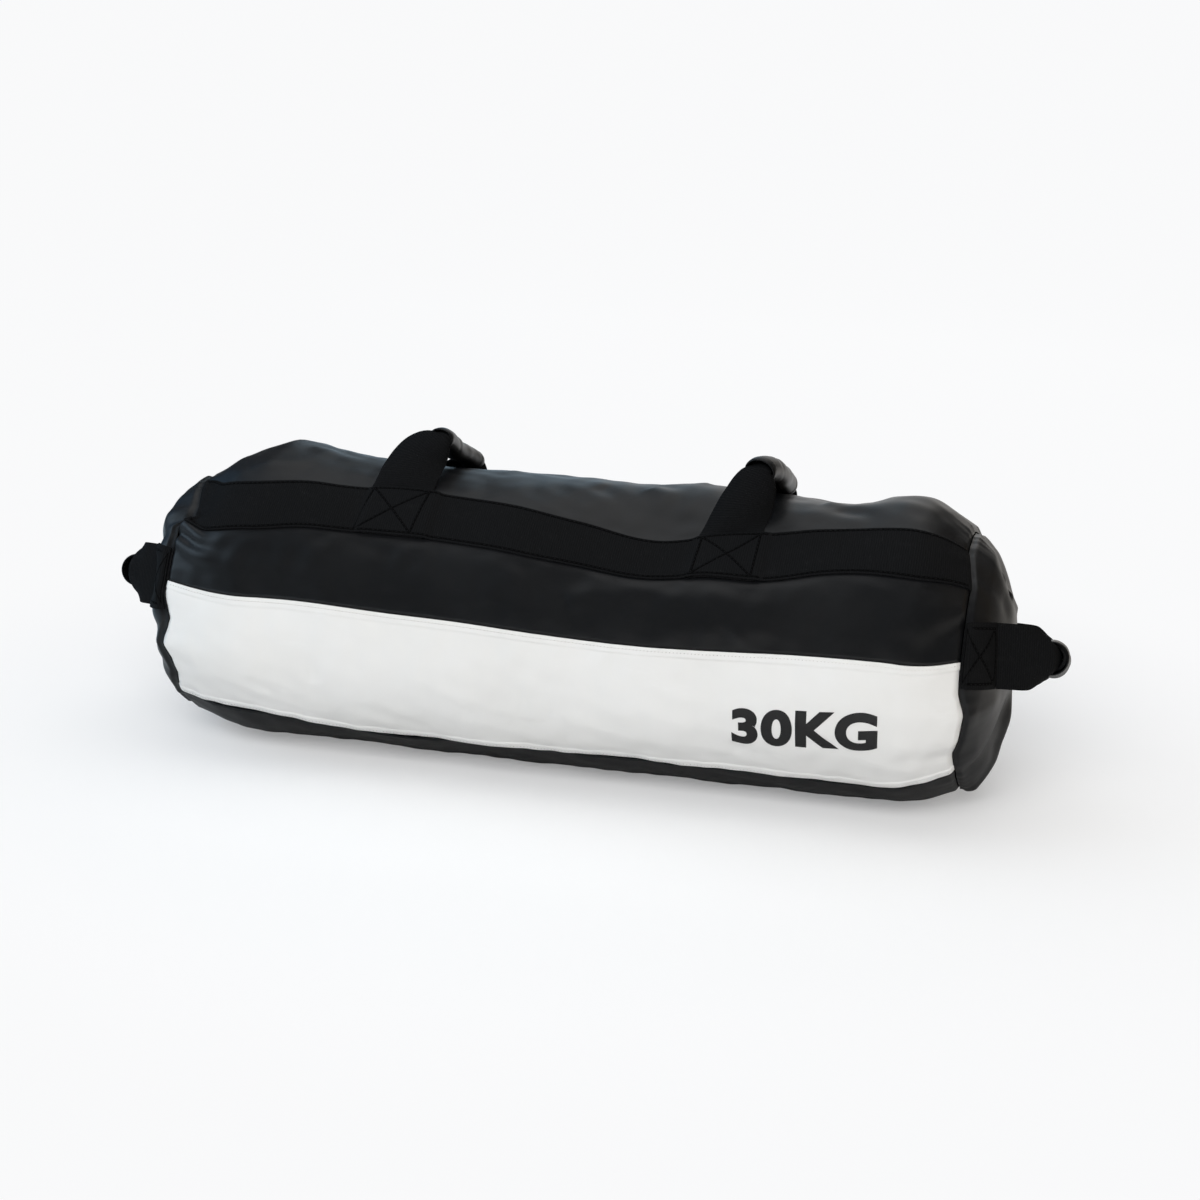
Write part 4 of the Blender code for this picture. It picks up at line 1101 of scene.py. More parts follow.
def plain_skin(along, angle, lift):
    """The CAD's own smooth skin, on which the handles' guide points stand."""
    along, angle = np.float64(along), np.float64(angle)
    turned = angle + seam_turn(along, angle)
    rise = shoulder_rise(along)
    radius = RIM_RADIUS + (BODY_RADIUS - RIM_RADIUS) * rise + lift - sag_depth(along, turned)
    height = RIM_HEIGHT + RIM_DROP * rise + radius * sin(turned)
    return Vector((CENTRE_X + along, -radius * cos(turned), max(height, 0)))


def top_path(side):
    """The middle line of a top handle, from its front leg's foot to its rear one's."""
    points = []
    shares = zip(TOP_ROUND_SHARES, TOP_SEAT_SHARES, TOP_RISE_SHARES, TOP_ASIDE_SHARES[side])
    for round_share, seat_share, rise_share, aside_share in shares:
        angle = STRAP_TOP["front"] + (STRAP_TOP["rear"] - STRAP_TOP["front"]) * round_share
        lift = (TOP_GRIP_RADIUS * TOP_FLATNESS[side] + TOP_GRIP_PLAY) * seat_share
        lift += TOP_MOUTH_RISE[side] * rise_share
        points.append(plain_skin(HANDLE_PLACES[side] + TOP_GRIP_ASIDE * aside_share, angle, lift))
    return curve_through(points, SPAN_STEPS)


END_TAIL_INNER = 0.072
END_TAIL_LIFT = 0.0006
END_HANDLE_UP = {"front": 0.0105, "rear": 0.0015}
END_GRIP_LENGTH = 0.100
END_GRIP_RADIUS = 0.0133
END_GRIP_REACH = {"left": 0.0490, "right": 0.0617}
END_OUT_SHARES = (0.52, 0.87, 1.0, 1.015)
END_IN_SHARES = (0.25, 0.55, 1.0, 2.1)


def rolled(across, up):
    """A direction in the bag's own section, turned with the bag as it lies."""
    y = across * cos(BAG_ROLL) + up * sin(BAG_ROLL)
    return Vector((0, y, up * cos(BAG_ROLL) - across * sin(BAG_ROLL)))


def dome_point(side, across, up, lift=0.0):
    """A point on the CAD's smooth dome, across and up in the bag's own section."""
    depth, power = DOME_DEPTHS[side], DOME_POWER_SHARES[side]
    inside_rim = max(1 - (across ** 2 + up ** 2) / RIM_RADIUS ** 2, 0)
    outwards = Vector((SIDES[side], 0, 0))
    spread = rolled(across, up)
    normal = spread * 2 * power * depth / RIM_RADIUS ** 2 + outwards * inside_rim ** (1 - power)
    rim = Vector((CENTRE_X, 0, RIM_HEIGHT)) + outwards * HALF_LENGTH
    return rim + spread + outwards * depth * inside_rim ** power + normal.normalized() * lift


def end_place(side, across, up, out):
    """A point past an end seam: across, up and out."""
    rim = Vector((CENTRE_X + SIDES[side] * HALF_LENGTH, 0, RIM_HEIGHT))
    return rim + rolled(across, up) + Vector((SIDES[side] * out, 0, 0))


def end_root(side, place):
    """Where an end handle leaves the dome, just past its sewn tail."""
    across = END_TAIL_INNER - SEAM_GAP - WEBBING_WALL / 2
    return dome_point(side, -PLACES[place] * across, END_HANDLE_UP[place], END_TAIL_LIFT + WEBBING_WALL / 2)


def end_path(side):
    """The middle line of an end handle, from leg to leg."""
    root_out = abs(end_root(side, "front").x - CENTRE_X) - HALF_LENGTH
    reach = END_GRIP_REACH[side]
    halves = {}
    for place, sign in PLACES.items():
        leg = []
        for out_share, in_share in zip(END_OUT_SHARES, END_IN_SHARES):
            across = END_TAIL_INNER + (END_GRIP_LENGTH / 2 - END_TAIL_INNER) * in_share
            out = root_out + (reach - root_out) * out_share
            leg.append(end_place(side, -sign * across, END_HANDLE_UP[place], out))
        halves[place] = leg
    middle = end_place(side, 0, sum(END_HANDLE_UP.values()) / 2, reach)
    return curve_through([*halves["front"], middle, *reversed(halves["rear"])], SPAN_STEPS)


# %% [markdown]
# ## Free webbing
# Fifty millimetres of webbing don't fit flat into a grip, so each leg curls into a roll on
# its way to the grip's mouth. Each row across the strip is an arc: nearly flat at the foot,
# and almost a full circle at the mouth, with the same length all the way.

# %% Curled strips
STRIP_COLUMNS = 17
STRIP_STEPS = 44
IN_CORE_SHARE = 0.255
CORE_LEAD = 0.013
STRIP_BEVEL = 0.0004
NARROWEST_TURN = 0.001
WIDEST_SHARE = 0.9995
HALVINGS = 40


def row_frames(path, spread):
    """For each point of a path: which way it runs, its side and its outward direction."""
    frames = []
    for index in range(len(path)):
        ahead = (path[min(index + 1, len(path) - 1)] - path[max(index - 1, 0)]).normalized()
        side = (spread - ahead * spread.dot(ahead)).normalized()
        frames.append((ahead, side, side.cross(ahead).normalized()))
    return frames


def half_turn(width_share):
    """Half the turn of an arc whose chord, or past a half circle its width, is a share of its length."""
    if width_share <= 2 / pi:
        return 1 / width_share
    low, high = NARROWEST_TURN, pi / 2
    for _ in range(HALVINGS):
        middle = (low + high) / 2
        if sin(middle) / middle > width_share:
            low = middle
        else:
            high = middle
    return low


def curled_row(place, side, out, width_share, squash):
    """Points across a strip that is bent to a squashed arc of a given width. Its crown is at the place."""
    turn = half_turn(min(width_share, WIDEST_SHARE))
    radius = WEBBING_WIDTH / (2 * turn)
    row = []
    for column in range(STRIP_COLUMNS):
        angle = turn * (2 * column / (STRIP_COLUMNS - 1) - 1)
        row.append(place + side * sin(angle) * radius - out * (1 - cos(angle)) * radius * squash)
    return row


def strip_piece(name, rows, node, inside):
    """The webbing of a handle, as one strip."""
    places = np.array([[tuple(point) for point in row] for row in rows])
    steps = np.linalg.norm(np.diff(places[:, STRIP_COLUMNS // 2], axis=0), axis=-1)
    flat = (np.linspace(0, WEBBING_WIDTH, STRIP_COLUMNS), np.concatenate(([0], steps.cumsum())))
    made = finish_piece(name, sheet_mesh(places, inside, flat), BLACK_WEBBING, None)
    thicken(made, WEBBING_WALL, 0, even=False)
    round_edges(made, STRIP_BEVEL)
    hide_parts(node)
    return made


# %% [markdown]
# ## Grips
# A grip is a sleeve of vinyl round a plastic tube. The sleeve is softer than the tube, so it
# creases, and it has a turned hem at each mouth. On the top handles both are a little
# flattened. Each starts as a grid wrapped round the path and welded into a tube.

# %% Sleeves
SLEEVE_WALL = 0.0014
CORE_WALL = 0.0030
CORE_INSET = CORE_LEAD * 0.7
SLEEVE_SIDES = 40
SLEEVE_ROWS = 96
SLEEVE_BEVEL = 0.0003
HEM_LENGTH = 0.0055
HEM_RISE = 0.0005
LIP_DEPTH = 0.0007
LIP_WIDTH = 0.0008
CREASES = 5
CREASE_HEIGHT = 0.00055
CREASE_WIDTH = 0.0050
CREASE_SWAY = 0.006


def finer_path(path, count):
    """The same path at even steps."""
    points = np.array([tuple(point) for point in path])
    steps = np.concatenate(([0], np.linalg.norm(np.diff(points, axis=0), axis=-1).cumsum()))
    even = np.linspace(0, steps[-1], count)
    return [Vector([np.interp(value, steps, points[:, axis]) for axis in range(3)]) for value in even], even


def make_tube(name, path, size_at, wall, finish, body, node, spread):
    """A tube along a path. size_at gives its half width and half height at a place and a turn."""
    line, run = finer_path(path, SLEEVE_ROWS)
    rows = []
    for place, (ahead, side, out), spot in zip(line, row_frames(line, spread), run):
        row = []
        for step in range(SLEEVE_SIDES + 1):
            turn = 2 * pi * step / SLEEVE_SIDES
            wide, high = size_at(spot, run[-1] - spot, turn)
            row.append(tuple(place + side * cos(turn) * wide + out * sin(turn) * high))
        rows.append(row)
    mesh = sheet_mesh(np.array(rows), line[len(line) // 2])
    bmesh.ops.remove_doubles(mesh, verts=mesh.verts, dist=WELD_GAP)
    bmesh.ops.recalc_face_normals(mesh, faces=mesh.faces)
    made = finish_piece(name, mesh, finish, body)
    thicken(made, wall, -1)
    round_edges(made, SLEEVE_BEVEL, radians(60))
    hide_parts(node)
    print(name, "length (m):", round(float(run[-1]), 3))
    return made


def drawn_creases(seed):
    """Seeded creases: where along a sleeve, which way round it, and how high."""
    draws = Random(seed)
    return [
        (draws.uniform(0.020, 0.085), draws.uniform(0, 2 * pi), draws.choice((-1, 1)) * draws.uniform(0.4, 1))
        for _ in range(CREASES)]


def make_grip(handle, path, radius, flatness, body, spread, seed):
    """The vinyl sleeve of a grip, and the plastic tube inside it."""
    creases = drawn_creases(seed)

    def sleeve_size(spot, left, turn):
        """The sleeve's half width and half height."""
        from_mouth = min(spot, left)
        hem = 1 - float(smooth_share((from_mouth - HEM_LENGTH) / HEM_STEP))
        size = radius - HEM_RISE * (1 - hem) - LIP_DEPTH * float(bell(from_mouth, LIP_WIDTH))
        for place, way, height in creases:
            near = bell(spot - place + CREASE_SWAY * sin(turn * 2 + way), CREASE_WIDTH)
            size += CREASE_HEIGHT * height * near * (0.5 + 0.5 * cos(turn - way))
        return size, size * flatness

    def core_size(spot, left, turn):
        """The tube's half width and half height, the same all along."""
        size = radius - HEM_RISE - SLEEVE_WALL - SEAM_GAP
        return size, size * flatness

    sleeve = make_tube(
        f"{handle}_sleeve", path, sleeve_size, SLEEVE_WALL - HEM_RISE, GRIP_VINYL, body,
        f"{body}_grip", spread)
    inner, run = finer_path(path, SLEEVE_ROWS)
    inner = [point for point, spot in zip(inner, run) if CORE_INSET <= spot <= run[-1] - CORE_INSET]
    make_tube(
        f"{handle}_core_tube", inner, core_size, CORE_WALL * flatness ** 2, CORE_PLASTIC, body,
        f"{body}_core", spread)


# %% Top handles
TOP_LIFT_OFF = 0.004
UNDER_STRAP = SEAM_GAP + WEBBING_WALL / 2
MOUTH_WIDTH_SHARE = 0.36
MOUTH_SQUASH = 0.50
MOUTH_LEAD = 0.02
TOP_WIDTHS = {
    # place along a leg, share of the full width
    "left": ((0, 0.30, 0.50, 0.66, 0.80, 0.92, 1.0), (1.0, 0.98, 0.92, 0.81, 0.67, 0.50, MOUTH_WIDTH_SHARE)),
    "right": ((0, 0.25, 0.50, 0.75, 0.90, 1.0), (1.0, 0.93, 0.83, 0.68, 0.54, MOUTH_WIDTH_SHARE)),
}
WIDTH_BLUR = 0.05
LEG_MIDDLE = 0.55
TOP_LEAN_SHARES = {"left": 0.30, "right": 0.62}
REAR_LEAN_SHARE = 0.6
LEG_BOWS = {"left": 0.0004, "right": 0.0030}
FOOT_SHIFTS = {"left": -0.0040, "right": -0.0010}
TOP_CREASE_SEED = 3


def width_at(share, widths):
    """A leg's width at a share of its length, by a soft curve through the named places."""
    places, shares = widths
    near = np.linspace(-WIDTH_BLUR, WIDTH_BLUR, 9) * min(4 * share, 4 * (1 - share), 1)
    return float(np.mean(np.interp(share + near, places, shares)))


def outward_frames(points, spread, inside):
    """The frames along a line, each turned to look away from a point inside the bag."""
    for place, (ahead, side, out) in zip(points, row_frames(points, spread)):
        yield place, side, -out if (place - inside).dot(out) < 0 else out


def leg_rows(line, foot_row, widths, spread, inside):
    """Rows from a flat foot to a mouth: they turn square to the line on their way."""
    points, run = finer_path(line, STRIP_STEPS)
    foot_side = (foot_row[-1] - foot_row[0]).normalized()
    rows = []
    for (place, side, out), spot in zip(outward_frames(points, spread, inside), run):
        share = spot / run[-1]
        square = float(smooth_share(share))
        way = foot_side.lerp(side, square).normalized()
        rise = (out - way * out.dot(way)).normalized()
        rows.append(curled_row(place, way, rise, width_at(share, widths), 1 + (MOUTH_SQUASH - 1) * square))
    return rows


def core_rows(line, spread, inside, flatness, mouth_share=MOUTH_WIDTH_SHARE):
    """Rows inside a grip: drawn in quickly behind each mouth, and as flat as the grip is."""
    points, run = finer_path(line, STRIP_STEPS)
    rows = []
    for (place, side, out), spot in zip(outward_frames(points, spread, inside), run):
        drawn_in = float(smooth_share(min(spot, run[-1] - spot) / CORE_LEAD))
        share = mouth_share + (IN_CORE_SHARE - mouth_share) * drawn_in
        squash = MOUTH_SQUASH + (flatness - MOUTH_SQUASH) * drawn_in
        radius = WEBBING_WIDTH / (2 * half_turn(share))
        rows.append(curled_row(place + out * radius * squash, side, out, share, squash))
    return rows


def top_foot_row(side, place, past):
    """A row across a top handle's foot: flat under the strap, and a way past its edge."""
    angle = STRAP_TOP[place] + PLACES[place] * (past + SEAM_GAP) / BODY_RADIUS
    offsets = np.linspace(-WEBBING_WIDTH / 2, WEBBING_WIDTH / 2, STRIP_COLUMNS)
    if place == "front":
        offsets += FOOT_SHIFTS[side]
    return [Vector(skin(HANDLE_PLACES[side] + offset, angle, UNDER_STRAP)) for offset in offsets]


def top_leg(side, place, near, inside):
    """The line of one leg's crown: up from the strap, then over into the mouth."""
    feet = [top_foot_row(side, place, past) for past in (0.0, TOP_LIFT_OFF / 2)]
    foot, before = feet[1][STRIP_COLUMNS // 2], feet[0][STRIP_COLUMNS // 2]
    mouth_out = (near[-1] - inside).normalized()
    mouth = near[-1] + mouth_out * (WEBBING_WIDTH * MOUTH_WIDTH_SHARE / 2 * MOUTH_SQUASH)
    middle = foot.lerp(mouth, LEG_MIDDLE) + mouth_out * LEG_BOWS[side]
    middle.x = foot.x + (mouth.x - foot.x) * (TOP_LEAN_SHARES[side] if place == "front" else REAR_LEAN_SHARE)
    beyond = mouth + (near[-1] - near[-2]).normalized() * MOUTH_LEAD
    return feet, curve_through([before, foot, middle, mouth, beyond], SPAN_STEPS)[SPAN_STEPS:-SPAN_STEPS]


def make_top_handle(side):
    """The webbing of a top handle, bent from the bag to the grip, and its grip."""
    path = top_path(side)
    inside = Vector((CENTRE_X + HANDLE_PLACES[side], 0, BODY_HEIGHT))
    spread = Vector((1, 0, 0))
    grip = path[SPAN_STEPS:-SPAN_STEPS]
    flatness = TOP_FLATNESS[side]
    handle = f"top_handle_{side}"
    legs = {}
    for place, near in (("front", path[:SPAN_STEPS + 1]), ("rear", path[::-1][:SPAN_STEPS + 1])):
        feet, line = top_leg(side, place, near, inside)
        legs[place] = feet[:1] + leg_rows(line, feet[1], TOP_WIDTHS[side], spread, inside)
    rows = legs["front"][:-1] + core_rows(grip, spread, inside, flatness) + legs["rear"][::-1][1:]
    strip = strip_piece(f"top_{side}_webbing", rows, f"{handle}_webbing", inside)
    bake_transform(strip)
    seed = TOP_CREASE_SEED + SIDES[side]
    make_grip(f"top_{side}", grip, TOP_SLEEVE_RADII[side], flatness, handle, spread, seed)


for side in SIDES:
    make_top_handle(side)


# %% End handles
END_WIDTHS = ((0, 0.45, 0.56, 0.66, 0.78, 0.90, 1.0), (1.0, 0.995, 0.97, 0.86, 0.68, 0.54, 0.44))
END_TAIL_START = radians(87)
FOOT_OVERLAP = 0.985
NORMAL_STEP = 0.001
LEG_SPLAY = 0.6
LEG_STEPS = 8
CROWN_STEPS = 1.5 * SPAN_STEPS
END_CREASE_SEED = 7


def dome_skin(side, across, up, lift):
    """A point on the finely folded end, across and up in the bag's own section."""
    spread = rolled(across, up)
    share = min(sqrt(across ** 2 + up ** 2) / RIM_RADIUS, 1.0)
    angle = np.arctan2(spread.z, -spread.y)
    base = cap_base(side, np.array([share]), np.array([angle]))[0]
    normal = (dome_point(side, across, up, NORMAL_STEP) - dome_point(side, across, up)).normalized()
    return Vector(base) + normal * lift


def tail_spot(side, place, run_share, wide_share, lift):
    """A point on an end handle's sewn end: from the seam inwards, and across it."""
    up = END_HANDLE_UP[place] + WEBBING_WIDTH * (wide_share - 0.5)
    edge = sqrt(RIM_RADIUS ** 2 - up ** 2)
    slope = END_TAIL_START + (asin(END_TAIL_INNER / edge) - END_TAIL_START) * run_share
    return dome_skin(side, -PLACES[place] * edge * sin(slope), up, lift)


def end_foot_row(side, place):
    """The webbing's first row, just inside the edge of the sewn end."""
    lift = END_TAIL_LIFT + WEBBING_WALL / 2
    return [tail_spot(side, place, FOOT_OVERLAP, share, lift) for share in np.linspace(0, 1, STRIP_COLUMNS)]


def end_crown(side, place, near, crown):
    """The outer line of an end handle's leg, which rises off its middle line on the way to the mouth."""
    way = (Vector((SIDES[side], 0, 0)) - rolled(PLACES[place], 0) * LEG_SPLAY).normalized()
    return [spot + way * crown * float(smooth_share(index / CROWN_STEPS)) for index, spot in enumerate(near)]


def make_end_handle(side):
    """The webbing of an end handle, bent from the bag to the grip, and its grip."""
    path = end_path(side)
    inside = Vector((CENTRE_X, 0, RIM_HEIGHT))
    mouth = 2 * SPAN_STEPS
    spread = rolled(0, 1)
    mouth_share = END_WIDTHS[1][-1]
    crown = WEBBING_WIDTH * mouth_share / 2 * MOUTH_SQUASH
    handle = f"end_handle_{side}"
    legs = {}
    for place, near in (("front", path[:mouth + 1]), ("rear", path[::-1][:mouth + 1])):
        foot = end_foot_row(side, place)
        outer = end_crown(side, place, near[SPAN_STEPS // 2:], crown)
        guides = [foot[STRIP_COLUMNS // 2], outer[0], outer[SPAN_STEPS // 2], outer[SPAN_STEPS], outer[-1]]
        legs[place] = leg_rows(curve_through(guides, LEG_STEPS), foot, END_WIDTHS, spread, inside)
    grip = path[mouth:-mouth]
    rows = legs["front"][:-1] + core_rows(grip, spread, inside, 1.0, mouth_share) + legs["rear"][::-1][1:]
    strip = strip_piece(f"end_{side}_webbing", rows, f"{handle}_webbing", inside)
    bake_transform(strip)
    make_grip(f"end_{side}", grip, END_GRIP_RADIUS, 1.0, handle, spread, END_CREASE_SEED + SIDES[side])


for side in SIDES:
    make_end_handle(side)

# %% [markdown]
# ## Sewn ends
# The handles' ends are sewn flat to the bag: the top ones under the long straps, the end
# ones on the domes, from the seam inwards.

# %% Tails
TAIL_COLUMNS = 13
TAIL_CELLS = 16


def make_top_tail(side, place):
    """A top handle's sewn end, on the skin under the long strap."""
    along = np.linspace(-WEBBING_WIDTH / 2, WEBBING_WIDTH / 2, TAIL_COLUMNS) + HANDLE_PLACES[side]
    made = skin_sheet(
        f"top_{side}_{place}_sewn_end", along, strap_angles(place, TAIL_COLUMNS), BLACK_WEBBING,
        SEAM_GAP, WEBBING_WALL, 1)
    sew_down(f"top_handle_{side}_{place}_tail")


def make_end_tail(side, place):
    """An end handle's sewn end, on the dome."""
    shares = [step / TAIL_CELLS for step in range(TAIL_CELLS + 1)]
    places = np.array([
        [tuple(tail_spot(side, place, run_share, wide_share, END_TAIL_LIFT)) for wide_share in shares]
        for run_share in shares])
    mesh = sheet_mesh(places, Vector((CENTRE_X, 0, RIM_HEIGHT)))
    made = finish_piece(f"end_{side}_{place}_sewn_end", mesh, BLACK_WEBBING)
    thicken(made, WEBBING_WALL, 1)
    round_edges(made, STRIP_BEVEL)
    sew_down(f"end_handle_{side}_{place}_tail")


for side in SIDES:
    for place in PLACES:
        make_top_tail(side, place)
        make_end_tail(side, place)

# %% [markdown]
# ## Stitches
# The straps, the sewn ends and the panel show their thread. Each stitch is a small squashed
# ball, drawn out along the seam and sunk nearly halfway into the cloth, and one mesh holds
# the stitches of several seams. A seam is just a list of points with their normals, so
# lines, boxes and crosses are all made alike.

# %% Stitch helper
STITCH_LENGTH = 0.0029
STITCH_PITCH = 0.0038
THREAD_RADIUS = 0.00038
THREAD_FLAT_SHARE = 0.75
THREAD_LIFT = 0.0001
SEAM_LINE_STEP = 0.002
SEAM_END = HALF_LENGTH - 0.003
# the ribbon of painted furrow shade under each webbing seam: its width, its rise and its wall
FURROW_SHADE_WIDTH = 0.0017
FURROW_SHADE_RISE = 0.00004
FURROW_SHADE_WALL = 0.0002


def stitch_spots(points, normals, pitch):
    """Middles, directions and normals of stitches at even steps along a line."""
    points, normals = np.array(points, float), np.array(normals, float)
    run = np.concatenate(([0], np.linalg.norm(np.diff(points, axis=0), axis=-1).cumsum()))
    count = max(1, int(run[-1] / pitch))
    middles = (np.arange(count) + 0.5) * run[-1] / count

    def at(values, spots):
        """Points or directions at places along the line."""
        return np.stack([np.interp(spots, run, values[:, axis]) for axis in range(3)], -1)

    ahead = at(points, middles + pitch / 4) - at(points, middles - pitch / 4)
    return at(points, middles), ahead, at(normals, middles)


def stitch_piece(name, lines, finish, length=STITCH_LENGTH, pitch=STITCH_PITCH, radius=THREAD_RADIUS):
    """One piece with the stitches of several seams. Each seam is points and normals."""
    mesh = bmesh.new()
    size = Matrix.Diagonal((length / 2, radius, radius * THREAD_FLAT_SHARE, 1))
    for points, normals in lines:
        for middle, ahead, normal in zip(*stitch_spots(points, normals, pitch)):
            ahead = Vector(ahead).normalized()
            across = ahead.cross(Vector(normal).normalized()).normalized()
            place = Matrix.Translation(middle) @ turn_to(ahead, across, ahead.cross(across))
            bmesh.ops.create_icosphere(mesh, subdivisions=1, radius=1, matrix=place @ size)
    finish_piece(name, mesh, finish)


def skin_line(start, end, lift):
    """Points and normals of a straight seam on the skin, from one place to another."""
    near, far = np.array(start, float), np.array(end, float)
    length = np.hypot((far - near)[0], (far - near)[1] * BODY_RADIUS)
    shares = np.linspace(0, 1, max(2, int(length / SEAM_LINE_STEP)))[:, None]
    spots = near + (far - near) * shares
    lifts = lift(spots[:, 0])
    low = skin(spots[:, 0], spots[:, 1], lifts)
    return low, skin(spots[:, 0], spots[:, 1], lifts + NORMAL_STEP) - low


def furrow_shade_piece(name, lines):
    """Painted shade of the furrow that thread pulls into webbing: a thin dark ribbon under each seam."""
    mesh = bmesh.new()
    for points, normals in lines:
        points, normals = np.array(points, float), np.array(normals, float)
        across = np.cross(np.gradient(points, axis=0), normals)
        across *= FURROW_SHADE_WIDTH / 2 / np.linalg.norm(across, axis=-1, keepdims=True)
        rise = normals * FURROW_SHADE_RISE / np.linalg.norm(normals, axis=-1, keepdims=True)
        left = [mesh.verts.new(place) for place in points + across + rise]
        right = [mesh.verts.new(place) for place in points - across + rise]
        edges = [mesh.edges.new(pair) for line in (left, right) for pair in zip(line, line[1:])]
        bmesh.ops.bridge_loops(mesh, edges=edges)
    face_away(mesh, BAG_MIDDLE)
    made = finish_piece(name, mesh, FURROW_SHADE)
    thicken(made, FURROW_SHADE_WALL, -1, even=False)


def webbing_seams(name, lines):
    """The stitches of several seams on webbing, with a ribbon of painted furrow shade under them."""
    furrow_shade_piece(f"{name}_furrow_shades", lines)
    stitch_piece(f"{name}_stitches", lines, BLACK_THREAD)


# %% Strap and box seams
EDGE_INSET = 0.0026
BOX_INSET = 0.0022
BOX_SHIFTS = {
    # how far the top and the bottom of a handle's front box stand aside
    "left": (-0.0030, -0.0085),
    "right": (0.0, -0.0015),
}


def over_strap(along):
    """The height of a strap's outer face over the skin."""
    return strap_lift(along) + WEBBING_WALL + THREAD_LIFT


def strap_seams(place):
    """A strap's two long seams, and over each handle's end two short ones with a cross between."""
    sign = PLACES[place]
    inset = EDGE_INSET / BODY_RADIUS
    top, bottom = STRAP_TOP[place] - sign * inset, STRAP_LOW[place] + sign * inset
    lines = [skin_line((-SEAM_END, angle), (SEAM_END, angle), over_strap) for angle in (top, bottom)]
    for side, middle in HANDLE_PLACES.items():
        low, high = middle - WEBBING_WIDTH / 2 + BOX_INSET, middle + WEBBING_WIDTH / 2 - BOX_INSET
        above, below = BOX_SHIFTS[side] if place == "front" else (0.0, 0.0)
        corners = ((low + above, top), (high + above, top), (low + below, bottom), (high + below, bottom))
        for start, stop in ((0, 2), (1, 3), (0, 3), (1, 2)):
            lines.append(skin_line(corners[start], corners[stop], over_strap))
    return lines


for place in PLACES:
    webbing_seams(f"{place}_strap", strap_seams(place))


# %% Sewn-end seams
TAIL_INSET = 0.09
TAIL_LINE_POINTS = 14


def tail_seams(side, place):
    """A box and its cross on an end handle's sewn end."""
    near_edge, far_edge = TAIL_INSET, 1 - TAIL_INSET
    corners = ((near_edge, near_edge), (far_edge, near_edge), (far_edge, far_edge), (near_edge, far_edge))
    face = END_TAIL_LIFT + WEBBING_WALL + THREAD_LIFT
    lines = []
    for start, stop in ((0, 1), (1, 2), (2, 3), (3, 0), (0, 2), (1, 3)):
        near, far = np.array(corners[start]), np.array(corners[stop])
        points, normals = [], []
        for share in np.linspace(0, 1, TAIL_LINE_POINTS):
            low, high = [tail_spot(side, place, *(near + (far - near) * share), face + lift)
                         for lift in (0.0, NORMAL_STEP)]
            points.append(tuple(low))
            normals.append(tuple(high - low))
        lines.append((points, normals))
    return lines


for side in SIDES:
    webbing_seams(f"{side}_end", tail_seams(side, "front") + tail_seams(side, "rear"))

# %% Panel seams
PANEL_STITCH = 0.0019
PANEL_PITCH = 0.0028
PANEL_THREAD = 0.00030
PANEL_INSET = 0.0034
HOLE_LENGTH = 0.0007
HOLE_RADIUS = 0.00028


def over_panel(along):
    """The height of the panel's hem over the skin."""
    return np.full_like(along, PANEL_LIFT + HEM_LIFT)


def panel_seams(shift):
    """The seams along the panel's two long edges, moved along the bag."""
    lines = []
    for edge, way in ((PANEL_TOP, -1), (PANEL_LOW, 1)):
        angle = edge + way * PANEL_INSET / BODY_RADIUS
        lines.append(skin_line((shift - SEAM_END, angle), (shift + SEAM_END, angle), over_panel))
    return lines


stitch_piece(
    "panel_stitches", panel_seams(0.0), WHITE_THREAD, PANEL_STITCH, PANEL_PITCH, PANEL_THREAD)
# painted shade: a grey dot in each hole between the white stitches stands for its shade
stitch_piece(
    "panel_hole_shades", panel_seams(PANEL_PITCH / 2), NEEDLE_HOLE_SHADE,
    HOLE_LENGTH, PANEL_PITCH, HOLE_RADIUS)

# %% [markdown]
# ## The weight figure
# A trainer of this kind has its weight printed on the light panel. Plain block figures are
# made as text, turned into a mesh, cut into narrow strips so that they can bend, and laid on
# the panel. The rest of the panel stays bare.

# %% Print
PRINT_START = 0.1480
PRINT_WIDTH = 0.1110
PRINT_HEIGHT = 0.0350
PRINT_LOW = radians(-25.0)
PRINT_TILT = radians(4.0)
PRINT_WALL = 0.00012
PRINT_LIFT = 0.0004
PRINT_CELL = 0.003
PRINT_WELD = 0.0001
LETTER_BOLDNESS = 0.046
LETTER_SPACING = 1.08


def flat_letters(name, words):
    """Bold letters as a flat mesh, in the text's own units."""
    curve = bpy.data.curves.new(name, "FONT")
    curve.body = words
    curve.offset = LETTER_BOLDNESS
    curve.space_character = LETTER_SPACING
    guide = place_object(name + "_guide", curve)
    bpy.context.view_layer.update()
    data = bpy.data.meshes.new_from_object(guide.evaluated_get(bpy.context.evaluated_depsgraph_get()))
    bpy.data.objects.remove(guide, do_unlink=True)
    mesh = bmesh.new()
    mesh.from_mesh(data)
    bmesh.ops.remove_doubles(mesh, verts=mesh.verts, dist=PRINT_WELD)
    return mesh


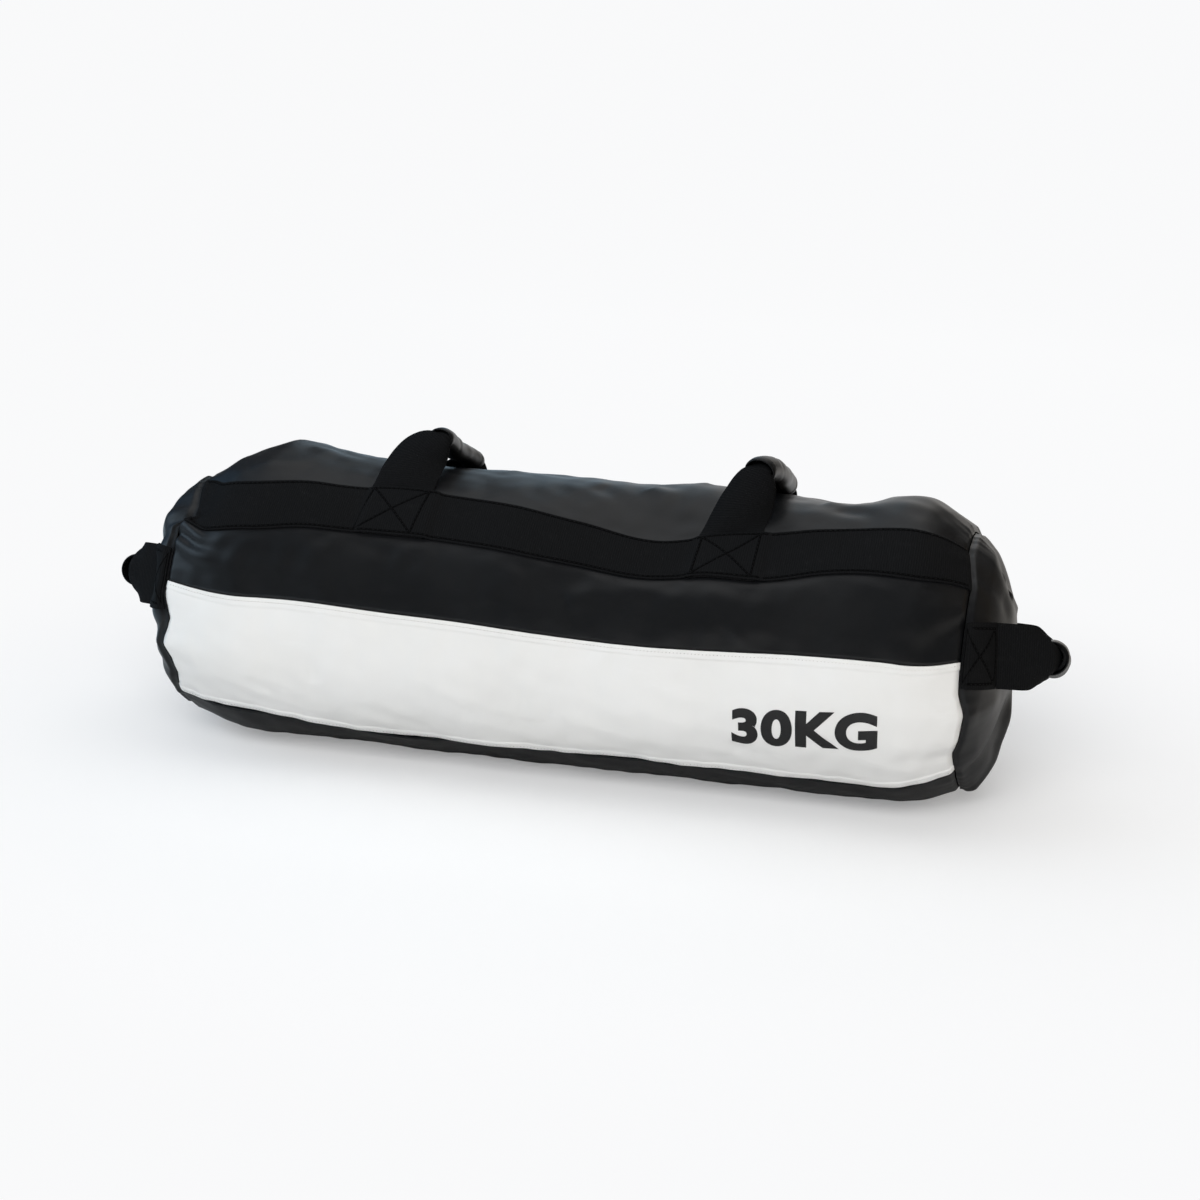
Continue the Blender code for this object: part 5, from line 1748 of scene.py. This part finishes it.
def make_print(name, words):
    """Words printed on the panel, cut so finely that they bend with it."""
    mesh = flat_letters(name, words)
    xs = [corner.co.x for corner in mesh.verts]
    ys = [corner.co.y for corner in mesh.verts]
    wide, high = max(xs) - min(xs), max(ys) - min(ys)
    for corner in mesh.verts:
        x, y = (corner.co.x - min(xs)) / wide, (corner.co.y - min(ys)) / high
        corner.co = (x * PRINT_WIDTH, y * PRINT_HEIGHT, 0)
    for axis, size in ((0, PRINT_WIDTH), (1, PRINT_HEIGHT)):
        for cut in np.arange(PRINT_CELL, size, PRINT_CELL):
            spot, way = [0, 0, 0], [0, 0, 0]
            spot[axis], way[axis] = cut, 1
            geometry = mesh.verts[:] + mesh.edges[:] + mesh.faces[:]
            bmesh.ops.bisect_plane(mesh, geom=geometry, plane_co=spot, plane_no=way)
    flat = np.array([tuple(corner.co) for corner in mesh.verts])
    along = PRINT_START + flat[:, 0]
    angle = PRINT_LOW + (flat[:, 1] + flat[:, 0] / PRINT_WIDTH * PRINT_TILT * BODY_RADIUS) / BODY_RADIUS
    for corner, spot in zip(mesh.verts, skin(along, angle, PRINT_LIFT)):
        corner.co = spot
    face_away(mesh, BAG_MIDDLE)
    made = finish_piece(name, mesh, PRINT_INK)
    thicken(made, PRINT_WALL, -1, even=False)


make_print("weight_figure", "30KG")

# %% [markdown]
# ## The CAD's own small parts
# What is already right in the frame stays, and only gets its finish: the zip's stops and
# the sand inside the bag.

# %% Finishes on the frame
def give_finish(finish, names):
    """A finish for nodes of the CAD that stay as they are."""
    for name in names:
        data = nodes[name].data
        data.materials.clear()
        data.materials.append(finish)


give_finish(ZIP_METAL, ["zip_stop_left", "zip_stop_right"])
give_finish(SAND, ["sand_left", "sand_middle", "sand_right"])

# %% [markdown]
# ## The zip and the fillers
# The zip's tapes need a UV map for their weave, so they are made again as sheets, and the
# cloth inside the bag as finer copies. Each coil becomes a row of nylon turns, and the two
# rows are half a turn apart, as in a closed zip. The runner and its pull get rounded edges.

# %% Zip tapes
ZIP_TAPE_WALL = 0.0010
TAPE_STEP = 0.006
TAPE_COLUMNS = 9


def make_zip_tape(part, low, high):
    """A zip tape between two angles, edge to edge with the cloth beside it."""
    made = skin_sheet(
        f"{part}_tape", long_stations(TAPE_STEP), np.linspace(low, high, TAPE_COLUMNS), ZIP_CLOTH,
        wall=ZIP_TAPE_WALL)
    sew_down(f"zip_{part}_tape")


parting = COIL_PARTING / 2 / BODY_RADIUS
tape = ZIP_TAPE_WIDTH / BODY_RADIUS
make_zip_tape("upper", ZIP_ANGLE - parting - tape, ZIP_ANGLE - parting)
make_zip_tape("lower", ZIP_ANGLE + parting, ZIP_ANGLE + parting + tape)


# %% Zip coils and runner
ZIP_END_MARGIN = 0.010
COIL_WIDTH = 0.0030
COIL_HEIGHT = 0.0022
TURN_PITCH = 0.0013
TURN_OVERLAP = 1.10
RUNNER_BEVEL = 0.0004
CAD_WELD_GAP = 0.00001


def make_coil(name, sign):
    """One coil of the zip: a row of nylon turns along its straight middle line."""
    start = plain_skin(-HALF_LENGTH + LEFT_SHOULDER + ZIP_END_MARGIN, ZIP_ANGLE, SEAM_GAP + COIL_HEIGHT / 2)
    length = 2 * HALF_LENGTH - LEFT_SHOULDER - RIGHT_SHOULDER - 2 * ZIP_END_MARGIN
    round_way = Vector((0, sin(ZIP_ANGLE), cos(ZIP_ANGLE)))
    outwards = Vector((0, -cos(ZIP_ANGLE), sin(ZIP_ANGLE)))
    turn = turn_to(Vector((1, 0, 0)), round_way, outwards)
    size = Matrix.Diagonal((TURN_PITCH / 2 * TURN_OVERLAP, COIL_WIDTH / 2, COIL_HEIGHT / 2, 1))
    aside = round_way * sign * (COIL_PARTING + COIL_WIDTH) / 2
    mesh = bmesh.new()
    for along in np.arange(TURN_PITCH * (0.75 + sign * 0.25), length - TURN_PITCH / 2, TURN_PITCH):
        place = Matrix.Translation(start + aside + Vector((float(along), 0, 0)))
        bmesh.ops.create_icosphere(mesh, subdivisions=1, radius=1, matrix=place @ turn @ size)
    made = finish_piece(name, mesh, ZIP_NYLON)
    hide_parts(f"zip_{name}")


def node_mesh(node):
    """A node's own mesh, welded where the CAD left its faces apart."""
    mesh = bmesh.new()
    mesh.from_mesh(nodes[node].data)
    bmesh.ops.transform(mesh, matrix=nodes[node].matrix_world, verts=mesh.verts)
    bmesh.ops.remove_doubles(mesh, verts=mesh.verts, dist=CAD_WELD_GAP)
    return mesh


def rounded_copy(node):
    """A metal part of the zip with its edges rounded."""
    made = finish_piece(f"{node}_rounded", node_mesh(node), ZIP_METAL, node)
    round_edges(made, RUNNER_BEVEL, radians(35), 3)
    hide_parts(node)


make_coil("upper_coil", 1)
make_coil("lower_coil", -1)
for node in ("zip_slider", "zip_pull"):
    rounded_copy(node)


def soft_copy(name, node, finish, cuts):
    """A finer copy of a soft node that is hidden inside the bag, with a UV map for its weave."""
    mesh = node_mesh(node)
    bmesh.ops.subdivide_edges(mesh, edges=mesh.edges, cuts=cuts, use_grid_fill=True)
    layer = mesh.loops.layers.uv.new("metres")
    for face in mesh.faces:
        for loop in face.loops:
            spot = loop.vert.co
            loop[layer].uv = (spot.z + spot.y, spot.x)
    made = finish_piece(name, mesh, finish)
    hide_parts(node)
    return made


for name in ("left", "middle", "right"):
    filler = soft_copy(f"{name}_filler", f"filler_bag_{name}", FILLER_CLOTH, 1)
    for kind in ("hook", "loop"):
        soft_copy(f"{name}_{kind}_closure", f"{kind}_tape_{name}", CLOSURE_CLOTH, 2)

# %% [markdown]
# ## Light
# The photograph was made on white cloth in soft daylight: a broad light from above and one
# from the front, cooler from the left and warmer from the right. The floor sweeps up behind
# the bag, so there is no horizon. The room beside the cloth is dark, and the black vinyl
# mirrors it.

# %% Floor
BACKDROP_WHITE = colour(0.945, 0.948, 0.955)
PURE_WHITE = colour(1.0, 1.0, 1.0)
CLOTH_LIT = (colour(0.86, 0.86, 0.86), colour(0.89, 0.89, 0.89))
CLOTH_SHOWN = (colour(0.69, 0.69, 0.69), colour(0.71, 0.71, 0.71))
FLOOR_LIFT = 0.30
FLOOR_HALF = 3.2
FLOOR_DROP = 0.0003
SWEEP_START = 1.7
SWEEP_RADIUS = 0.9
SWEEP_TOP = 3.0
SWEEP_STEPS = 16
BAG_SHARES = (0.85, 1.0, 1.0)
WHITE_FROM = 0.20
WHITE_AT = 0.62
DARK_FROM = 0.55
DARK_AT = 1.20
BEHIND_FROM = 0.3
BEHIND_AT = 1.0
NEAR_DIM = 0.65
MIRROR_DIM = 0.85
MIRRORED_LEFT = colour(0.55, 0.80, 1.0)
MIRRORED_RIGHT = colour(1.0, 0.93, 0.84)
COOL_AT = -0.70
COOL_TO = -0.20
WARM_FROM = 0.20
WARM_AT = 0.80


def sweep_material():
    """White cloth round the bag, running out into plain white.

    The camera sees a darker cloth with a glow of its own, which softens the shadow. Mirrored
    in the bag, only the cloth's middle is white, cool at the left and warm at the right.
    """
    made, tree, shader = new_material("white_cloth_floor", 0.9, Specular_IOR_Level=0.1)
    place = object_place(tree)
    parts = add(tree, "ShaderNodeSeparateXYZ", Vector=place).outputs
    rays = tree.nodes.new("ShaderNodeLightPath")
    seen, mirrored = rays.outputs["Is Camera Ray"], rays.outputs["Is Glossy Ray"]

    noise = add(tree, "ShaderNodeTexNoise", Vector=place, Scale=1.3, Detail=3.0).outputs[0]
    lit, shown = (blend_colour(tree, noise, *limits) for limits in (CLOTH_LIT, CLOTH_SHOWN))
    cloth = blend_colour(tree, seen, lit, shown)

    nearer = add(tree, "ShaderNodeVectorMath", {"operation": "MULTIPLY"}, i0=place, i1=BAG_SHARES).outputs[0]
    away = add(tree, "ShaderNodeVectorMath", {"operation": "LENGTH"}, i0=nearer).outputs["Value"]
    beside = ramp(tree, maths(tree, "ABSOLUTE", parts[0]), DARK_FROM, DARK_AT)
    bright = maths(tree, "MULTIPLY_ADD", mirrored, maths(tree, "SUBTRACT", 1.0, beside), seen)
    far = maths(tree, "MULTIPLY", ramp(tree, away, WHITE_FROM, WHITE_AT), bright)

    near = maths(tree, "MULTIPLY", ramp(tree, parts[1], BEHIND_AT, BEHIND_FROM), NEAR_DIM)
    dim = maths(tree, "MULTIPLY", maths(tree, "MAXIMUM", beside, near), MIRROR_DIM)
    unlit = maths(tree, "MAXIMUM", far, maths(tree, "MULTIPLY", mirrored, dim))
    tree.links.new(blend_colour(tree, unlit, cloth, colour(0.0, 0.0, 0.0)), shader.inputs["Base Color"])

    tint = blend_colour(tree, ramp(tree, parts[0], COOL_AT, COOL_TO), MIRRORED_LEFT, PURE_WHITE)
    tint = blend_colour(tree, ramp(tree, parts[0], WARM_FROM, WARM_AT), tint, MIRRORED_RIGHT)
    tree.links.new(blend_colour(tree, seen, tint, BACKDROP_WHITE), shader.inputs["Emission Color"])
    lift = maths(tree, "MULTIPLY", seen, FLOOR_LIFT)
    glow = add(tree, "ShaderNodeMix", {"data_type": "FLOAT"}, i0=far, i2=lift, i3=1.0)
    tree.links.new(glow.outputs[0], shader.inputs["Emission Strength"])
    return made


def make_sweep():
    """A floor that curves up into a backdrop."""
    rows = [(-FLOOR_HALF, 0.0), (SWEEP_START, 0.0)]
    for step in range(1, SWEEP_STEPS + 1):
        turn = pi / 2 * step / SWEEP_STEPS
        rows.append((SWEEP_START + SWEEP_RADIUS * sin(turn), SWEEP_RADIUS * (1 - cos(turn))))
    rows.append((SWEEP_START + SWEEP_RADIUS, SWEEP_TOP))
    mesh = bmesh.new()
    line = [mesh.verts.new((-FLOOR_HALF, y, z - FLOOR_DROP)) for y, z in rows]
    edges = [mesh.edges.new(pair) for pair in zip(line, line[1:])]
    wide = bmesh.ops.extrude_edge_only(mesh, edges=edges)
    moved = [item for item in wide["geom"] if isinstance(item, bmesh.types.BMVert)]
    bmesh.ops.translate(mesh, verts=moved, vec=(2 * FLOOR_HALF, 0, 0))
    bmesh.ops.recalc_face_normals(mesh, faces=mesh.faces)
    mesh_object("sweep", mesh, sweep_material())


make_sweep()


# %% Room and lamps
ROOM_WIDE = 0.9
ROOM_NARROW = 0.1
ROOM_NEAR = -0.3
ROOM_DEEP = 0.5
ROOM_LEFT = colour(0.07, 0.18, 0.32)
ROOM_MIDDLE = colour(0.22, 0.22, 0.215)
ROOM_RIGHT = colour(0.20, 0.15, 0.09)
ROOM_FRONT = colour(0.06, 0.06, 0.06)
LAMPS = (
    # name, place, aim, width and height, watts, colour, whether it is mirrored
    ("overhead", (0.0, 0.5, 2.6), (0, 0, 0.1), (3.2, 2.2), 21, (1.0, 1.0, 1.0), True),
    ("window_left", (-2.3, -0.3, 1.1), (0, 0, 0.15), (1.4, 1.6), 16, (0.64, 0.83, 1.0), True),
    ("warm_right", (2.3, -0.4, 0.9), (0, 0, 0.15), (1.2, 1.2), 5, (1.0, 0.86, 0.68), False),
    ("front_fill", (0.1, -2.4, 2.0), (0, 0, 0.1), (2.6, 1.4), 71, (1.0, 1.0, 1.0), False),
)


def make_world():
    """Pale all round for the camera. For the light: a dim room in front, cool left, warm right."""
    world = bpy.data.worlds.new("world")
    bpy.context.scene.world = world
    world.use_nodes = True
    tree = world.node_tree
    place = tree.nodes.new("ShaderNodeTexCoord").outputs["Generated"]
    parts = add(tree, "ShaderNodeSeparateXYZ", Vector=place).outputs
    tint = blend_colour(tree, ramp(tree, parts[0], -ROOM_WIDE, -ROOM_NARROW), ROOM_LEFT, ROOM_MIDDLE)
    tint = blend_colour(tree, ramp(tree, parts[0], ROOM_NARROW, ROOM_WIDE), tint, ROOM_RIGHT)
    room = blend_colour(tree, ramp(tree, parts[1], ROOM_NEAR, ROOM_DEEP), ROOM_FRONT, tint)
    seen = tree.nodes.new("ShaderNodeLightPath").outputs["Is Camera Ray"]
    tree.links.new(blend_colour(tree, seen, room, BACKDROP_WHITE), tree.nodes["Background"].inputs["Color"])


def make_lamp(name, place, aim, size, watts, tint, mirrored):
    """A rectangular lamp that looks at a point."""
    data = bpy.data.lights.new(name, "AREA")
    data.shape = "RECTANGLE"
    data.size, data.size_y = size
    data.energy = watts
    data.color = tint
    lamp = place_object(name, data)
    lamp.location = place
    lamp.rotation_euler = (Vector(aim) - Vector(place)).to_track_quat("-Z", "Y").to_euler()
    lamp.visible_glossy = mirrored


make_world()
for lamp in LAMPS:
    make_lamp(*lamp)
